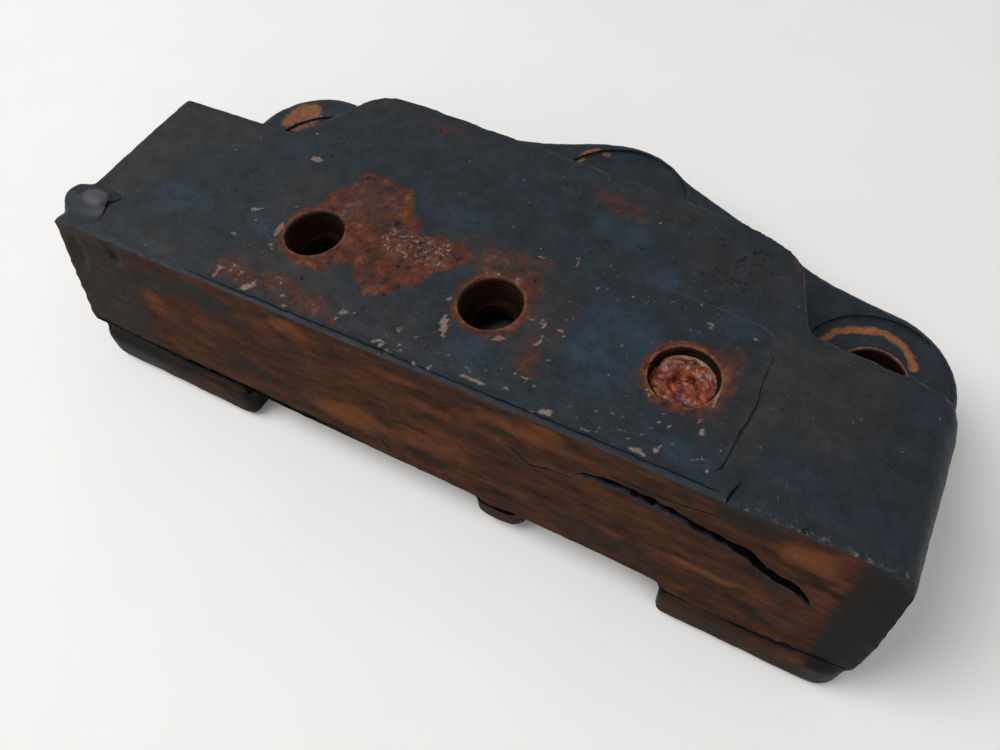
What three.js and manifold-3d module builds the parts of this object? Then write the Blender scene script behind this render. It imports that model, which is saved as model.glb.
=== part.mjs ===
// Hydraulic brake caliper, cylinder half: a cast iron housing with three bolt ears and three
// cylinders, with the pistons, seals, boots, brake pad, guide pins and plugs that it holds.
// Units are millimetres, +Z is up. The casting lies on its feet, its pad side down.
// While it is built, X runs along the casting from its left end, Y from the top front edge to
// the ears and Z from the feet. The last lines move the origin under the middle of the casting.

import * as THREE from 'three';
import { mergeVertices } from 'three/addons/utils/BufferGeometryUtils.js';
import Module from 'manifold-3d';

const wasm = await Module();
wasm.setup();

// Driving dimensions
const LENGTH = 380;
const END_SWELL = 2;
const RIGHT_END = LENGTH + END_SWELL;
const WIDTH = 95;
const TOP = 79.5;
const PARTING = 21;
const FRONT_LEAN = 13.3;
const UNDERSIDE = 14.5;
const EAR_TOP = 51;
const PISTON_RADIUS = 26;
const PISTON_PITCH = 66;
const PISTON_ROW_Y = 47.5;
const PISTON_MID_X = 204.3;
const BOLT_HOLE_RADIUS = 12.4;
const PORT_RADIUS = 12.3;

// Heights on the pad side, from the feet up
const LINING_FACE = 10;
const LINING_THICKNESS = 10;
const PLATE_THICKNESS = 6;
const PLATE_TOP = LINING_FACE + LINING_THICKNESS + PLATE_THICKNESS;
const FACE_GAP = 0.1;
const POCKET_ROOF = 28;
const BOOT_SEAT_TOP = 34;
const CYLINDER_TOP = 63;
const PISTON_NOSE = 28.3;
const PISTON_CROWN = 56;
const SEAL_LOW = 37.5;
const SEAL_HIGH = 42.5;

// Fits and small sizes
const RUNNING = 0.1;
const SLACK = 0.3;
const PISTON_SIDES = 32;
const RING_SIDES = 24;
const HOLE_SIDES = 28;
const EAR_SIDES = 40;
const BOOT_SEAT_RADIUS = 31.5;
const SEAL_RADIUS = 29.6;
const SPOTFACE_DEPTH = 1.5;
const PORT_DEPTH = 12;
const PORT_CHAMFER = 1.4;
const PASSAGE_RADIUS = 8.5;
const PLUG_RECESS = 4;
const PIN_RADIUS = 5;
const PIN_END = 6;
const PIN_SEAT_TOP = 44;

const PISTONS = [
  { side: 'left', x: PISTON_MID_X - PISTON_PITCH },
  { side: 'centre', x: PISTON_MID_X },
  { side: 'right', x: PISTON_MID_X + PISTON_PITCH },
];
const PORTS = [
  { name: 'port_left', x: 118.7, y: 44.3 },
  { name: 'port_centre', x: 208.6, y: 41.9 },
  { name: 'port_right', x: 289.6, y: 41.6 },
];
const PLUGGED = PORTS[2];
const EARS = [
  { side: 'left', x: 49.4, y: 121.6, radius: 36.4, holeX: 60.5, holeY: 113.5, spotface: 29.5 },
  { side: 'centre', x: 213.6, y: 142.5, radius: 41.8, holeX: 217.7, holeY: 145.2, spotface: 34 },
  { side: 'right', x: 346.6, y: 92, radius: 38.2, holeX: 351.7, holeY: 94.2, spotface: 29.5 },
];
const FOOT_LEFT_END = 100.7;
const FOOT_RIGHT_START = 307.8;
const POCKET_FRONT = 3;
const POCKET_BACK = 92;
const PINS = [
  { side: 'left', x: 113, y: 82 },
  { side: 'right', x: 295.6, y: 82 },
];
const BOSS = { y: 18, z: TOP - 6.5, radius: 10, start: -7, end: 19 };
const GALLERY = { y: PISTON_ROW_Y, z: 59, radius: 3.5, plugRadius: 8, plugLength: 11 };

// ---------- making and joining solids ----------

// A closed geometry as a manifold solid: positions only, doubles merged, faces turned outwards.
function solid(geometry) {
  const plain = geometry.clone();
  plain.deleteAttribute('normal');
  plain.deleteAttribute('uv');
  const merged = mergeVertices(plain, 1e-4);
  const points = merged.attributes.position.array;
  const kept = [];
  for (let i = 0; i < merged.index.count; i += 3) {
    const [a, b, c] = merged.index.array.slice(i, i + 3);
    if (a !== b && b !== c && c !== a) kept.push(a, b, c);
  }
  if (volume(points, kept) < 0) kept.reverse();
  return new wasm.Manifold(
    new wasm.Mesh({
      numProp: 3,
      vertProperties: new Float32Array(points),
      triVerts: new Uint32Array(kept),
    }),
  );
}

// Six times the signed volume inside a list of triangles.
function volume(points, index) {
  const corner = (i) => new THREE.Vector3().fromArray(points, 3 * index[i]);
  let sum = 0;
  for (let i = 0; i < index.length; i += 3) {
    sum += corner(i).dot(corner(i + 1).cross(corner(i + 2)));
  }
  return sum;
}

function joined(solids) {
  return solids.reduce((whole, piece) => whole.add(piece));
}

function cut(body, tools) {
  return tools.reduce((rest, tool) => rest.subtract(tool), body);
}

function geometryOf(body) {
  const mesh = body.getMesh();
  const geometry = new THREE.BufferGeometry();
  geometry.setAttribute('position', new THREE.BufferAttribute(mesh.vertProperties, 3));
  geometry.setIndex(new THREE.BufferAttribute(mesh.triVerts, 1));
  geometry.computeVertexNormals();
  return geometry;
}

// ---------- basic shapes ----------

// A closed outline through corners [x, y, reach]; a corner's curve starts `reach` before it.
function outline(corners) {
  const shape = new THREE.Shape();
  const count = corners.length;
  corners.forEach(([x, y, reach = 0], i) => {
    const here = new THREE.Vector2(x, y);
    const before = new THREE.Vector2(...corners[(i + count - 1) % count].slice(0, 2));
    const after = new THREE.Vector2(...corners[(i + 1) % count].slice(0, 2));
    const start = before.sub(here).setLength(reach || 1e-9).add(here);
    const end = after.sub(here).setLength(reach || 1e-9).add(here);
    if (!reach) {
      if (i === 0) shape.moveTo(x, y);
      else shape.lineTo(x, y);
      return;
    }
    if (i === 0) shape.moveTo(start.x, start.y);
    else shape.lineTo(start.x, start.y);
    shape.quadraticCurveTo(x, y, end.x, end.y);
  });
  shape.closePath();
  return shape;
}

// A plan outline raised from low to high, its edges rounded by `edge` inside the outline.
function raised(shape, low, high, edge = 0, curveSegments = 5) {
  const geometry = new THREE.ExtrudeGeometry(shape, {
    depth: high - low - 2 * edge,
    curveSegments,
    bevelEnabled: edge > 0,
    bevelThickness: edge,
    bevelSize: edge,
    bevelOffset: -edge,
    bevelSegments: 2,
  });
  return geometry.translate(0, 0, low + edge);
}

// A section in Y and Z carried along X from start to end.
function alongX(shape, start, end) {
  const geometry = new THREE.ExtrudeGeometry(shape, {
    depth: end - start,
    curveSegments: 5,
    bevelEnabled: false,
  });
  const axes = new THREE.Matrix4().makeBasis(
    new THREE.Vector3(0, 1, 0),
    new THREE.Vector3(0, 0, 1),
    new THREE.Vector3(1, 0, 0),
  );
  return geometry.applyMatrix4(axes).translate(start, 0, 0);
}

// A section in X and Z carried along Y from start to end.
function alongY(shape, start, end) {
  const geometry = new THREE.ExtrudeGeometry(shape, {
    depth: end - start,
    curveSegments: 5,
    bevelEnabled: false,
  });
  return geometry.rotateX(Math.PI / 2).translate(0, end, 0);
}

// A round bar standing on Z from low to high.
function bar(radius, low, high, x = 0, y = 0, sides = HOLE_SIDES) {
  const geometry = new THREE.CylinderGeometry(radius, radius, high - low, sides);
  return geometry.rotateX(Math.PI / 2).translate(x, y, (low + high) / 2);
}

// A body turned about Z from a profile of [radius, height] points that closes on itself or
// starts and ends on the axis.
function turned(profile, sides) {
  const points = profile.map(([radius, height]) => new THREE.Vector2(radius, height));
  const onAxis = profile[0][0] === 0 && profile[profile.length - 1][0] === 0;
  if (!onAxis) points.push(points[0].clone());
  return new THREE.LatheGeometry(points, sides).rotateX(Math.PI / 2);
}

// A hole drilled straight from one point to another.
function drilled(radius, from, to, sides = 12) {
  const length = from.distanceTo(to);
  const geometry = new THREE.CylinderGeometry(radius, radius, length, sides);
  const turn = new THREE.Quaternion().setFromUnitVectors(
    new THREE.Vector3(0, 1, 0),
    to.clone().sub(from).normalize(),
  );
  const middle = from.clone().add(to).multiplyScalar(0.5);
  return geometry.applyQuaternion(turn).translate(middle.x, middle.y, middle.z);
}

// ---------- housing ----------

// The flat top: a long bar that widens behind the ports into a plateau.
function deck() {
  const corners = [
    [0, 0, 4],
    [RIGHT_END, 0, 8],
    [RIGHT_END, 73, 14],
    [324, 79.5, 5],
    [311.5, 115.5, 10],
    [284, 125, 14],
    [120, 138.5, 10],
    [92.5, 138.5, 12],
    [70, 96, 4],
    [-END_SWELL, WIDTH + 1, 4],
  ];
  return solid(raised(outline(corners), UNDERSIDE, TOP, 1.2));
}

// The front wall leans out to the parting line, then turns in under it.
function apron() {
  const section = outline([
    [1, TOP - 1.2],
    [-FRONT_LEAN, PARTING, 1.5],
    [-FRONT_LEAN + 4.3, UNDERSIDE, 2],
    [10, UNDERSIDE],
    [10, TOP - 2.5],
  ]);
  const plan = outline([
    [-END_SWELL - 1, -FRONT_LEAN - 1, 3],
    [RIGHT_END, -FRONT_LEAN - 1, 9],
    [RIGHT_END, WIDTH],
    [-END_SWELL - 1, WIDTH],
  ]);
  const wall = solid(alongX(section, -END_SWELL - 1, RIGHT_END));
  return wall.intersect(solid(raised(plan, 0, TOP)));
}

// The lower flange: a web behind the bar that carries the three round ears.
function flange() {
  const web = outline([
    [12, 60],
    [14, 118, 12],
    [32, 152, 12],
    [118, 157.5, 20],
    [171, 169, 10],
    [198, 180.5],
    [234, 177.5],
    [248, 168, 6],
    [274, 156.5, 12],
    [323, 134.5, 6],
    [350, 128.5],
    [372, 60],
  ]);
  const ears = EARS.map(({ x, y, radius }) => {
    const edge = 5;
    const low = 1.5;
    const profile = [
      [0, 0],
      [radius - low, 0],
      [radius, low],
      [radius, EAR_TOP - edge],
      [radius - 0.3 * edge, EAR_TOP - 0.3 * edge],
      [radius - edge, EAR_TOP],
      [0, EAR_TOP],
    ];
    return solid(turned(profile, EAR_SIDES).translate(x, y, 0));
  });
  return joined([solid(raised(web, 0, EAR_TOP, 3)), ...ears]);
}

// A spotface sunk in each ear round its bolt hole.
function spotfaces() {
  return EARS.map(({ holeX, holeY, spotface }) =>
    solid(bar(spotface, EAR_TOP - SPOTFACE_DEPTH, EAR_TOP + 1, holeX, holeY, EAR_SIDES)),
  );
}

// Two feet below the parting line; the lug between them stops the pad's front edge.
function feet() {
  const left = outline([
    [0, -17, 14],
    [FOOT_LEFT_END, -17, 5],
    [FOOT_LEFT_END, WIDTH],
    [0, WIDTH],
  ]);
  const right = outline([
    [FOOT_RIGHT_START, -17],
    [LENGTH, -17, 13],
    [LENGTH, 76],
    [FOOT_RIGHT_START, 90],
  ]);
  const lug = outline([
    [221, -13, 9],
    [247, -13, 11],
    [246, 4],
    [224, 4],
  ]);
  return joined([
    solid(raised(left, 0, PARTING - 4, 3)),
    solid(raised(right, 0, PARTING - 2, 2)),
    solid(raised(lug, 4, PARTING - 1, 2)),
  ]);
}

// The round boss that stands out of the left end, along X.
function endBoss() {
  const { start, end, radius, y, z } = BOSS;
  const profile = [
    [0, start],
    [radius - 2.5, start],
    [radius, start + 2.5],
    [radius, end - 5],
    [radius - 2, end - 1.5],
    [radius - 5, end],
    [0, end],
  ];
  const axes = new THREE.Matrix4().makeRotationY(Math.PI / 2);
  return solid(turned(profile, 28).applyMatrix4(axes).translate(0, y, z));
}

// The large round over the top edge of the right end.
function endRound() {
  const radius = 11;
  const shape = new THREE.Shape();
  shape.moveTo(RIGHT_END - radius, TOP);
  shape.absarc(RIGHT_END - radius, TOP - radius, radius, Math.PI / 2, 0, true);
  shape.lineTo(RIGHT_END + 2, TOP - radius);
  shape.lineTo(RIGHT_END + 2, TOP + 2);
  shape.lineTo(RIGHT_END - radius, TOP + 2);
  shape.closePath();
  return solid(alongY(shape, -30, WIDTH + 10));
}

// The room for the pad, with rounded corners, open to the disc below.
function padPocket() {
  const plan = outline([
    [FOOT_LEFT_END + 1.5, POCKET_FRONT, 4],
    [FOOT_RIGHT_START - 1.5, POCKET_FRONT, 4],
    [FOOT_RIGHT_START - 1.5, POCKET_BACK, 4],
    [FOOT_LEFT_END + 1.5, POCKET_BACK, 4],
  ]);
  return solid(raised(plan, -2, POCKET_ROOF));
}

// Cylinder, seal groove and boot seat, as one turned cut.
function cylinderBore(x) {
  const bore = PISTON_RADIUS + RUNNING;
  const profile = [
    [0, POCKET_ROOF - 3],
    [BOOT_SEAT_RADIUS, POCKET_ROOF - 3],
    [BOOT_SEAT_RADIUS, BOOT_SEAT_TOP],
    [bore, BOOT_SEAT_TOP],
    [bore, SEAL_LOW],
    [SEAL_RADIUS, SEAL_LOW],
    [SEAL_RADIUS, SEAL_HIGH],
    [bore, SEAL_HIGH],
    [bore, CYLINDER_TOP - 2],
    [bore - 2, CYLINDER_TOP],
    [0, CYLINDER_TOP],
  ];
  return solid(turned(profile, PISTON_SIDES).translate(x, PISTON_ROW_Y, 0));
}

// A threaded port's mouth, and below it the passage into its cylinder.
function portHole({ x, y }) {
  const floor = TOP - PORT_DEPTH;
  const profile = [
    [0, CYLINDER_TOP - 4],
    [PASSAGE_RADIUS, CYLINDER_TOP - 4],
    [PASSAGE_RADIUS, floor],
    [PORT_RADIUS, floor],
    [PORT_RADIUS, TOP - PORT_CHAMFER],
    [PORT_RADIUS + PORT_CHAMFER + 1, TOP + 1],
    [0, TOP + 1],
  ];
  return solid(turned(profile, HOLE_SIDES).translate(x, y, 0));
}

// The gallery that joins the cylinders, drilled from the right end, and its plug's seat.
function galleryHole() {
  const { y, z, radius, plugRadius, plugLength } = GALLERY;
  const left = new THREE.Vector3(PISTONS[0].x, y, z);
  const seat = new THREE.Vector3(RIGHT_END - plugLength, y, z);
  const out = new THREE.Vector3(RIGHT_END + 3, y, z);
  return joined([
    solid(drilled(radius, left, out)),
    solid(drilled(plugRadius + RUNNING, seat, out, HOLE_SIDES)),
  ]);
}

// The bleed hole: a seat in the end boss and a slanting drilling into the left cylinder.
function bleedHole() {
  const mouth = new THREE.Vector3(BOSS.start - 2, BOSS.y, BOSS.z - 2);
  const seat = new THREE.Vector3(9, BOSS.y, BOSS.z - 2);
  const cylinder = new THREE.Vector3(PISTONS[0].x - 14, PISTON_ROW_Y - 10, CYLINDER_TOP - 3);
  return joined([
    solid(drilled(5 + RUNNING, mouth, seat, 20)),
    solid(drilled(2.5, seat.clone().setX(8), cylinder)),
  ]);
}

function housing() {
  const casting = joined([
    cut(flange(), spotfaces()),
    deck(),
    apron(),
    feet(),
  ]);
  const rounded = joined([cut(casting, [endRound()]), endBoss()]);
  const boltHoles = EARS.map(({ holeX, holeY }) =>
    solid(bar(BOLT_HOLE_RADIUS, -2, TOP + 2, holeX, holeY)),
  );
  const pinSeats = PINS.map(({ x, y }) =>
    solid(bar(PIN_RADIUS + RUNNING, POCKET_ROOF - 2, PIN_SEAT_TOP, x, y, 20)),
  );
  return cut(rounded, [
    padPocket(),
    ...PISTONS.map(({ x }) => cylinderBore(x)),
    ...PORTS.map(portHole),
    ...boltHoles,
    ...pinSeats,
    galleryHole(),
    bleedHole(),
  ]);
}

// ---------- cylinder parts ----------

// A cup piston, closed at the fluid end, with a boot groove near its open nose.
function piston() {
  const r = PISTON_RADIUS;
  const groove = r - 1.6;
  const profile = [
    [0, PISTON_CROWN],
    [r - 2, PISTON_CROWN],
    [r, PISTON_CROWN - 2],
    [r, 32.2],
    [groove, 32.2],
    [groove, 29.8],
    [r, 29.8],
    [r, PISTON_NOSE],
    [20.6, PISTON_NOSE],
    [20.6, PISTON_CROWN - 9],
    [0, PISTON_CROWN - 9],
  ];
  return solid(turned(profile, PISTON_SIDES));
}

// The square ring that seals the piston and draws it back a little.
function pistonSeal() {
  const inner = PISTON_RADIUS + RUNNING + 0.05;
  const profile = [
    [inner, SEAL_LOW + 0.1],
    [SEAL_RADIUS - 0.1, SEAL_LOW + 0.1],
    [SEAL_RADIUS - 0.1, SEAL_HIGH - 0.1],
    [inner, SEAL_HIGH - 0.1],
  ];
  return solid(turned(profile, PISTON_SIDES));
}

// A rubber boot: a bead in the piston's groove, one fold, and a lip under its retaining ring.
function dustBoot() {
  const bead = PISTON_RADIUS - 1.2;
  const profile = [
    [bead, 30.1],
    [bead, 31.9],
    [26.9, 31.9],
    [27.2, 33.0],
    [28.3, 33.7],
    [31.1, 33.7],
    [31.1, 32.7],
    [28.7, 32.7],
    [28.2, 32.2],
    [27.9, 30.1],
  ];
  return solid(turned(profile, RING_SIDES));
}

// The steel ring pressed into the boot seat, which holds the boot's lip.
function bootRing() {
  const outer = BOOT_SEAT_RADIUS - SLACK;
  const profile = [
    [29.2, POCKET_ROOF + 0.4],
    [outer, POCKET_ROOF + 0.4],
    [outer, 32.4],
    [30.0, 32.4],
    [30.0, 29.6],
    [29.2, 29.6],
  ];
  return solid(turned(profile, RING_SIDES));
}

// A heat shield disc between piston and plate, its spigot inside the piston's cup.
function insulator() {
  const face = PLATE_TOP + FACE_GAP;
  const shoulder = PISTON_NOSE - FACE_GAP;
  const profile = [
    [0, face],
    [22.5, face],
    [23.3, face + 0.8],
    [23.3, shoulder],
    [20.1, shoulder],
    [20.1, shoulder + 7],
    [0, shoulder + 7],
  ];
  return solid(turned(profile, RING_SIDES));
}

// ---------- pad and its pins ----------

function plateOutline(inset) {
  const left = FOOT_LEFT_END + 3 + inset;
  const right = FOOT_RIGHT_START - 3 - inset;
  return outline([
    [left, POCKET_FRONT + 2 + inset / 2, 6],
    [right, POCKET_FRONT + 2 + inset / 2, 6],
    [right, POCKET_BACK - 2 - inset / 2, 8],
    [left, POCKET_BACK - 2 - inset / 2, 8],
  ]);
}

function backingPlate() {
  const holes = PINS.map(({ x, y }) =>
    solid(bar(PIN_RADIUS + 0.5, 0, TOP, x, y, 20)),
  );
  return cut(solid(raised(plateOutline(0), PLATE_TOP - PLATE_THICKNESS, PLATE_TOP)), holes);
}

// The lining: shorter than its plate to clear the pins, with a wear slot across its middle.
function lining() {
  const top = PLATE_TOP - PLATE_THICKNESS - FACE_GAP;
  const block = solid(raised(plateOutline(22), LINING_FACE, top, 1));
  const slot = new THREE.BoxGeometry(3, 2 * WIDTH, 5).translate(PISTON_MID_X, WIDTH / 2, LINING_FACE);
  return cut(block, [solid(slot)]);
}

// A guide pin: a shank in the housing that the plate's hole slides on, grooved for a clip.
function guidePin() {
  const r = PIN_RADIUS;
  const profile = [
    [0, PIN_SEAT_TOP - 1],
    [r - 1, PIN_SEAT_TOP - 1],
    [r, PIN_SEAT_TOP - 2],
    [r, PIN_END + 3],
    [r - 1, PIN_END + 3],
    [r - 1, PIN_END + 1.6],
    [r, PIN_END + 1.6],
    [r, PIN_END + 0.6],
    [r - 0.6, PIN_END],
    [0, PIN_END],
  ];
  return solid(turned(profile, 20));
}

// A snap ring with an open gap, sprung into the pin's groove.
function pinClip() {
  const low = PIN_END + 1.75;
  const shape = new THREE.Shape();
  const gap = 0.55;
  shape.absarc(0, 0, 7.6, gap, 2 * Math.PI - gap, false);
  shape.absarc(0, 0, PIN_RADIUS - 0.7, 2 * Math.PI - gap, gap, true);
  shape.closePath();
  return solid(raised(shape, low, low + 1.1, 0, 20));
}

// ---------- plugs ----------

// A hexagon in plan, for a key socket.
function keySocket(acrossFlats, low, high) {
  const radius = acrossFlats / Math.sqrt(3);
  return solid(bar(radius, low, high, 0, 0, 6));
}

// The recessed screw plug of the unused port.
function portPlug() {
  const high = TOP - PLUG_RECESS;
  const low = TOP - PORT_DEPTH + SLACK;
  const r = PORT_RADIUS - 0.15;
  const profile = [
    [0, low],
    [r - 1, low],
    [r, low + 1],
    [r, high - 0.8],
    [r - 0.8, high],
    [0, high],
  ];
  return cut(solid(turned(profile, HOLE_SIDES)), [keySocket(10, high - 4, high + 1)]);
}

// A socket plug lying along X, its head flush with the end face.
function endPlug(radius, length, acrossFlats, sides) {
  const profile = [
    [0, 0],
    [radius - 0.6, 0],
    [radius, 0.6],
    [radius, length - 0.6],
    [radius - 0.6, length],
    [0, length],
  ];
  const socket = keySocket(acrossFlats, length - 0.4 * length, length + 1);
  return cut(solid(turned(profile, sides)), [socket]);
}

// ---------- materials ----------

function finish(color, roughness, metalness = 0) {
  return new THREE.MeshStandardMaterial({ color, roughness, metalness });
}

const CAST = finish(0x2b3440, 0.65, 0.2);
const STEEL = finish(0x8a8c8d, 0.4, 0.9);
const RUSTED = finish(0x8a4a28, 0.85, 0.1);
const RUBBER = finish(0x1b1b1b, 0.8);
const PHENOLIC = finish(0x5a4632, 0.75);
const FRICTION = finish(0x3f3b37, 0.95);
const PLATE = finish(0x4a4038, 0.7, 0.4);

function part(name, body, material, x = 0, y = 0, z = 0) {
  const mesh = new THREE.Mesh(geometryOf(body), material);
  mesh.name = name;
  mesh.position.set(x, y, z);
  return mesh;
}

// ---------- assembly ----------

const assembly = new THREE.Group();
assembly.add(part('caliper_housing', housing(), CAST));

for (const { side, x } of PISTONS) {
  const row = new THREE.Group();
  row.position.set(x, PISTON_ROW_Y, 0);
  row.add(part(`piston_${side}`, piston(), STEEL));
  row.add(part(`piston_seal_${side}`, pistonSeal(), RUBBER));
  row.add(part(`dust_boot_${side}`, dustBoot(), RUBBER));
  row.add(part(`boot_ring_${side}`, bootRing(), STEEL));
  row.add(part(`insulator_${side}`, insulator(), PHENOLIC));
  assembly.add(row);
}

assembly.add(part('pad_backing_plate', backingPlate(), PLATE));
assembly.add(part('pad_lining', lining(), FRICTION));
for (const { side, x, y } of PINS) {
  assembly.add(part(`guide_pin_${side}`, guidePin(), STEEL, x, y));
  assembly.add(part(`pin_clip_${side}`, pinClip(), STEEL, x, y));
}

assembly.add(part('port_plug', portPlug(), RUSTED, PLUGGED.x, PLUGGED.y));
const galleryPlug = part('gallery_plug', endPlug(GALLERY.plugRadius, 10, 8, HOLE_SIDES), STEEL);
galleryPlug.position.set(RIGHT_END - 10.6, GALLERY.y, GALLERY.z);
galleryPlug.rotation.y = Math.PI / 2;
assembly.add(galleryPlug);
const bleedPlug = part('bleed_plug', endPlug(5, 14, 5, 20), STEEL);
bleedPlug.position.set(BOSS.start + 14.4, BOSS.y, BOSS.z - 2);
bleedPlug.rotation.y = -Math.PI / 2;
assembly.add(bleedPlug);

// The origin is the middle of the box round the whole caliper, on the plane of its feet.
const box = new THREE.Box3().setFromObject(assembly);
const middle = box.getCenter(new THREE.Vector3());
assembly.position.set(-middle.x, -middle.y, -box.min.z);

const caliper = new THREE.Group();
caliper.add(assembly);

export default caliper;
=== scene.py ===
"""Looks of a hydraulic brake caliper, cylinder half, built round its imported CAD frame.

Shapes are worked out in millimetres in the casting's own axes: X along the casting from its
left end, Y back from its top front edge, Z up from its feet. placed() moves them to the frame.
"""
import itertools
import math

import bpy
import numpy as np
from bpy.props import FloatProperty, FloatVectorProperty, PointerProperty
from mathutils import Matrix, Vector


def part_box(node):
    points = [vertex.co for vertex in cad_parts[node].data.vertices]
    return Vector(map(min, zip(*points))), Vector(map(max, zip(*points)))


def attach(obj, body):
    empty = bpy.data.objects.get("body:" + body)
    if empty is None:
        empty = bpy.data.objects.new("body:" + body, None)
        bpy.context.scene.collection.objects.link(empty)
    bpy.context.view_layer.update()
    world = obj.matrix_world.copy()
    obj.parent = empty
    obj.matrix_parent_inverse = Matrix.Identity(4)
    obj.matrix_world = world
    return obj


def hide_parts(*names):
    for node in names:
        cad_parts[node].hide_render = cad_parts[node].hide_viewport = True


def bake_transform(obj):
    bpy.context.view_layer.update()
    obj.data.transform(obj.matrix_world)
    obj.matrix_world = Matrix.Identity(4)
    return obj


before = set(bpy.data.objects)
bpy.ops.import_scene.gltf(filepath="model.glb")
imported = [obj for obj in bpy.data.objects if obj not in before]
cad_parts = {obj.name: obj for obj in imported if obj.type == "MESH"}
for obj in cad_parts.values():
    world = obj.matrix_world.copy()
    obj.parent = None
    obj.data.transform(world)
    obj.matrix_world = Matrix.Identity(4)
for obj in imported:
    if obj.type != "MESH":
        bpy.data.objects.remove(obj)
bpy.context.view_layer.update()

bl_info = {
    "name": "Brake caliper half",
    "version": (1, 0, 0),
    "blender": (4, 5, 0),
    "location": "3D View > Sidebar > Caliper",
    "description": "Builds the cast housing, pistons, boots, plugs and stage of a brake caliper half",
    "category": "Object",
}

MM = 0.001

# Where the casting's own axes start, from the CAD node's box
BOSS_OUT = 7.0
EAR_BACK = 184.3
LOW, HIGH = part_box("caliper_housing")
START = np.array([LOW.x / MM + BOSS_OUT, HIGH.y / MM - EAR_BACK, LOW.z / MM])

# Where the camera stands, on the casting's axes in millimetres
CAMERA_AT = (324.12, -120.45, 319.41)

# Casting sizes in millimetres
RIGHT_END = 382.0
TOP = 79.5
EAR_TOP = 51.0
UNDERSIDE = 14.5
PARTING = 21.0
FRONT_LEAN = 14.3
FRONT_TOP = 78.3
PORTS = ((118.7, 44.3), (208.6, 41.9), (289.6, 41.6))
EARS = (
    # ear centre and radius, bolt hole centre, spotface radius
    (49.4, 121.6, 36.4, 60.5, 113.5, 29.5),
    (213.6, 142.5, 41.8, 217.7, 145.2, 34.0),
    (346.6, 92.0, 38.2, 351.7, 94.2, 29.5),
)
DECK_OUTLINE = (
    (0, 0), (RIGHT_END, 0), (RIGHT_END, 73), (324, 79.5), (311.5, 115.5), (284, 125), (120, 138.5),
    (101, 138.5), (93, 136), (88, 130), (70, 96), (-2, 97),
)
PINS = ((113.0, 82.0), (295.6, 82.0))
PISTONS = (("left", 138.3), ("centre", 204.3), ("right", 270.3))
PISTON_Y = 47.5
PISTON_RADIUS = 26.0
BORE_RADIUS = 26.15
CYLINDER_TOP = 63.0
POCKET = (102.2, 306.3, 3.0, 92.0, 28.0)
PORT_RADIUS = 12.3
PORT_MOUTH = 13.7
PORT_FLOOR = TOP - 12.0
PASSAGE_RADIUS = 8.5
BOLT_HOLE_RADIUS = 12.4
SPOTFACE_FLOOR = 49.35
# The gallery's y, z, radius, plug radius and plug seat, and the bleed drilling's y and z
GALLERY = (47.5, 59.0, 3.5, 8.1, 371.0)
BLEED = (18.0, 71.0)


def linear(hex_colour):
    """An sRGB hex colour as linear red, green and blue."""
    values = np.array([int(hex_colour[i:i + 2], 16) for i in (1, 3, 5)]) / 255
    return tuple(np.where(values <= 0.04045, values / 12.92, ((values + 0.055) / 1.055) ** 2.4))


def colour_setting(name, description, hex_colour):
    return FloatVectorProperty(
        name=name, description=description, subtype="COLOR", min=0, max=1,
        default=linear(hex_colour),
    )


def length_setting(name, description, millimetres):
    return FloatProperty(
        name=name, description=description, default=millimetres * MM, min=0,
        unit="LENGTH", precision=5,
    )


class CastingSettings(bpy.types.PropertyGroup):
    """Sizes and colours of the casting's skin."""

    cell: length_setting("Skin cell", "Edge length of the cast skin's mesh", 1.8)
    grain: length_setting("Sand grain", "Height of the sand-cast unevenness", 0.14)
    sag: length_setting("Face waviness", "Height of the long waves on the cast faces", 0.35)
    crack: length_setting("Crack depth", "Depth of the long crack in the front face", 6.0)
    thread_pitch: length_setting("Thread pitch", "Pitch of the threads in the open ports", 2.0)
    thread_depth: length_setting("Thread depth", "Depth of the threads in the open ports", 1.0)
    paint_dark: colour_setting("Aged paint", "Dark greyed blue paint", "#1B2025")
    paint_blue: colour_setting("Blue paint", "Paint where it is least aged", "#20303D")
    paint_dust: colour_setting("Dusty paint", "Paint under a film of grey-brown dust", "#2A292A")
    rust: colour_setting("Rust", "Red-brown rust on the top face", "#523024")
    soil: colour_setting("Road soil", "Orange-brown soil on the front face", "#452A1C")
    chip: colour_setting("Chipped paint", "Tan primer where the paint has chipped", "#94705A")


class PartSettings(bpy.types.PropertyGroup):
    """Sizes and colours of the parts that the casting holds."""

    boot_wall: length_setting("Boot wall", "Thickness of a dust boot's wall", 0.9)
    crust: length_setting("Plug crust", "Height of the rust crust on the port plug", 0.9)
    steel: colour_setting("Ground steel", "Plated and ground steel", "#9C9A96")
    rubber: colour_setting("Rubber", "Moulded rubber", "#17171A")
    phenolic: colour_setting("Phenolic", "Moulded phenolic discs", "#5A4532")
    friction: colour_setting("Friction block", "Sintered friction material", "#3B3632")
    orange_rust: colour_setting("Plug rust", "Wet orange rust on the port plug", "#83381A")


class StageSettings(bpy.types.PropertyGroup):
    """Floor, light and lens."""

    floor: colour_setting("Floor", "Plain pale floor", "#F4F3F1")
    lens: FloatProperty(
        name="Lens", description="Focal length in millimetres on a 36 mm sensor", default=28.08,
        min=1,
    )
    key: FloatProperty(name="Key light", description="Power of the main light", default=24, min=0)
    fill: FloatProperty(name="Fill light", description="Power of the fill light", default=6, min=0)
    sky: FloatProperty(name="Sky", description="Strength of the even light all round", default=0.4)


# ---------- numpy shapes ----------


def placed(points):
    """Points in the casting's axes and millimetres, moved to the frame and metres."""
    return (np.asarray(points, float) + START) * MM


def ramp(value, low, high):
    """0 below low, 1 above high, and t*t*(3-2t) between them."""
    t = np.clip((value - low) / (high - low), 0, 1)
    return t * t * (3 - 2 * t)


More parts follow.
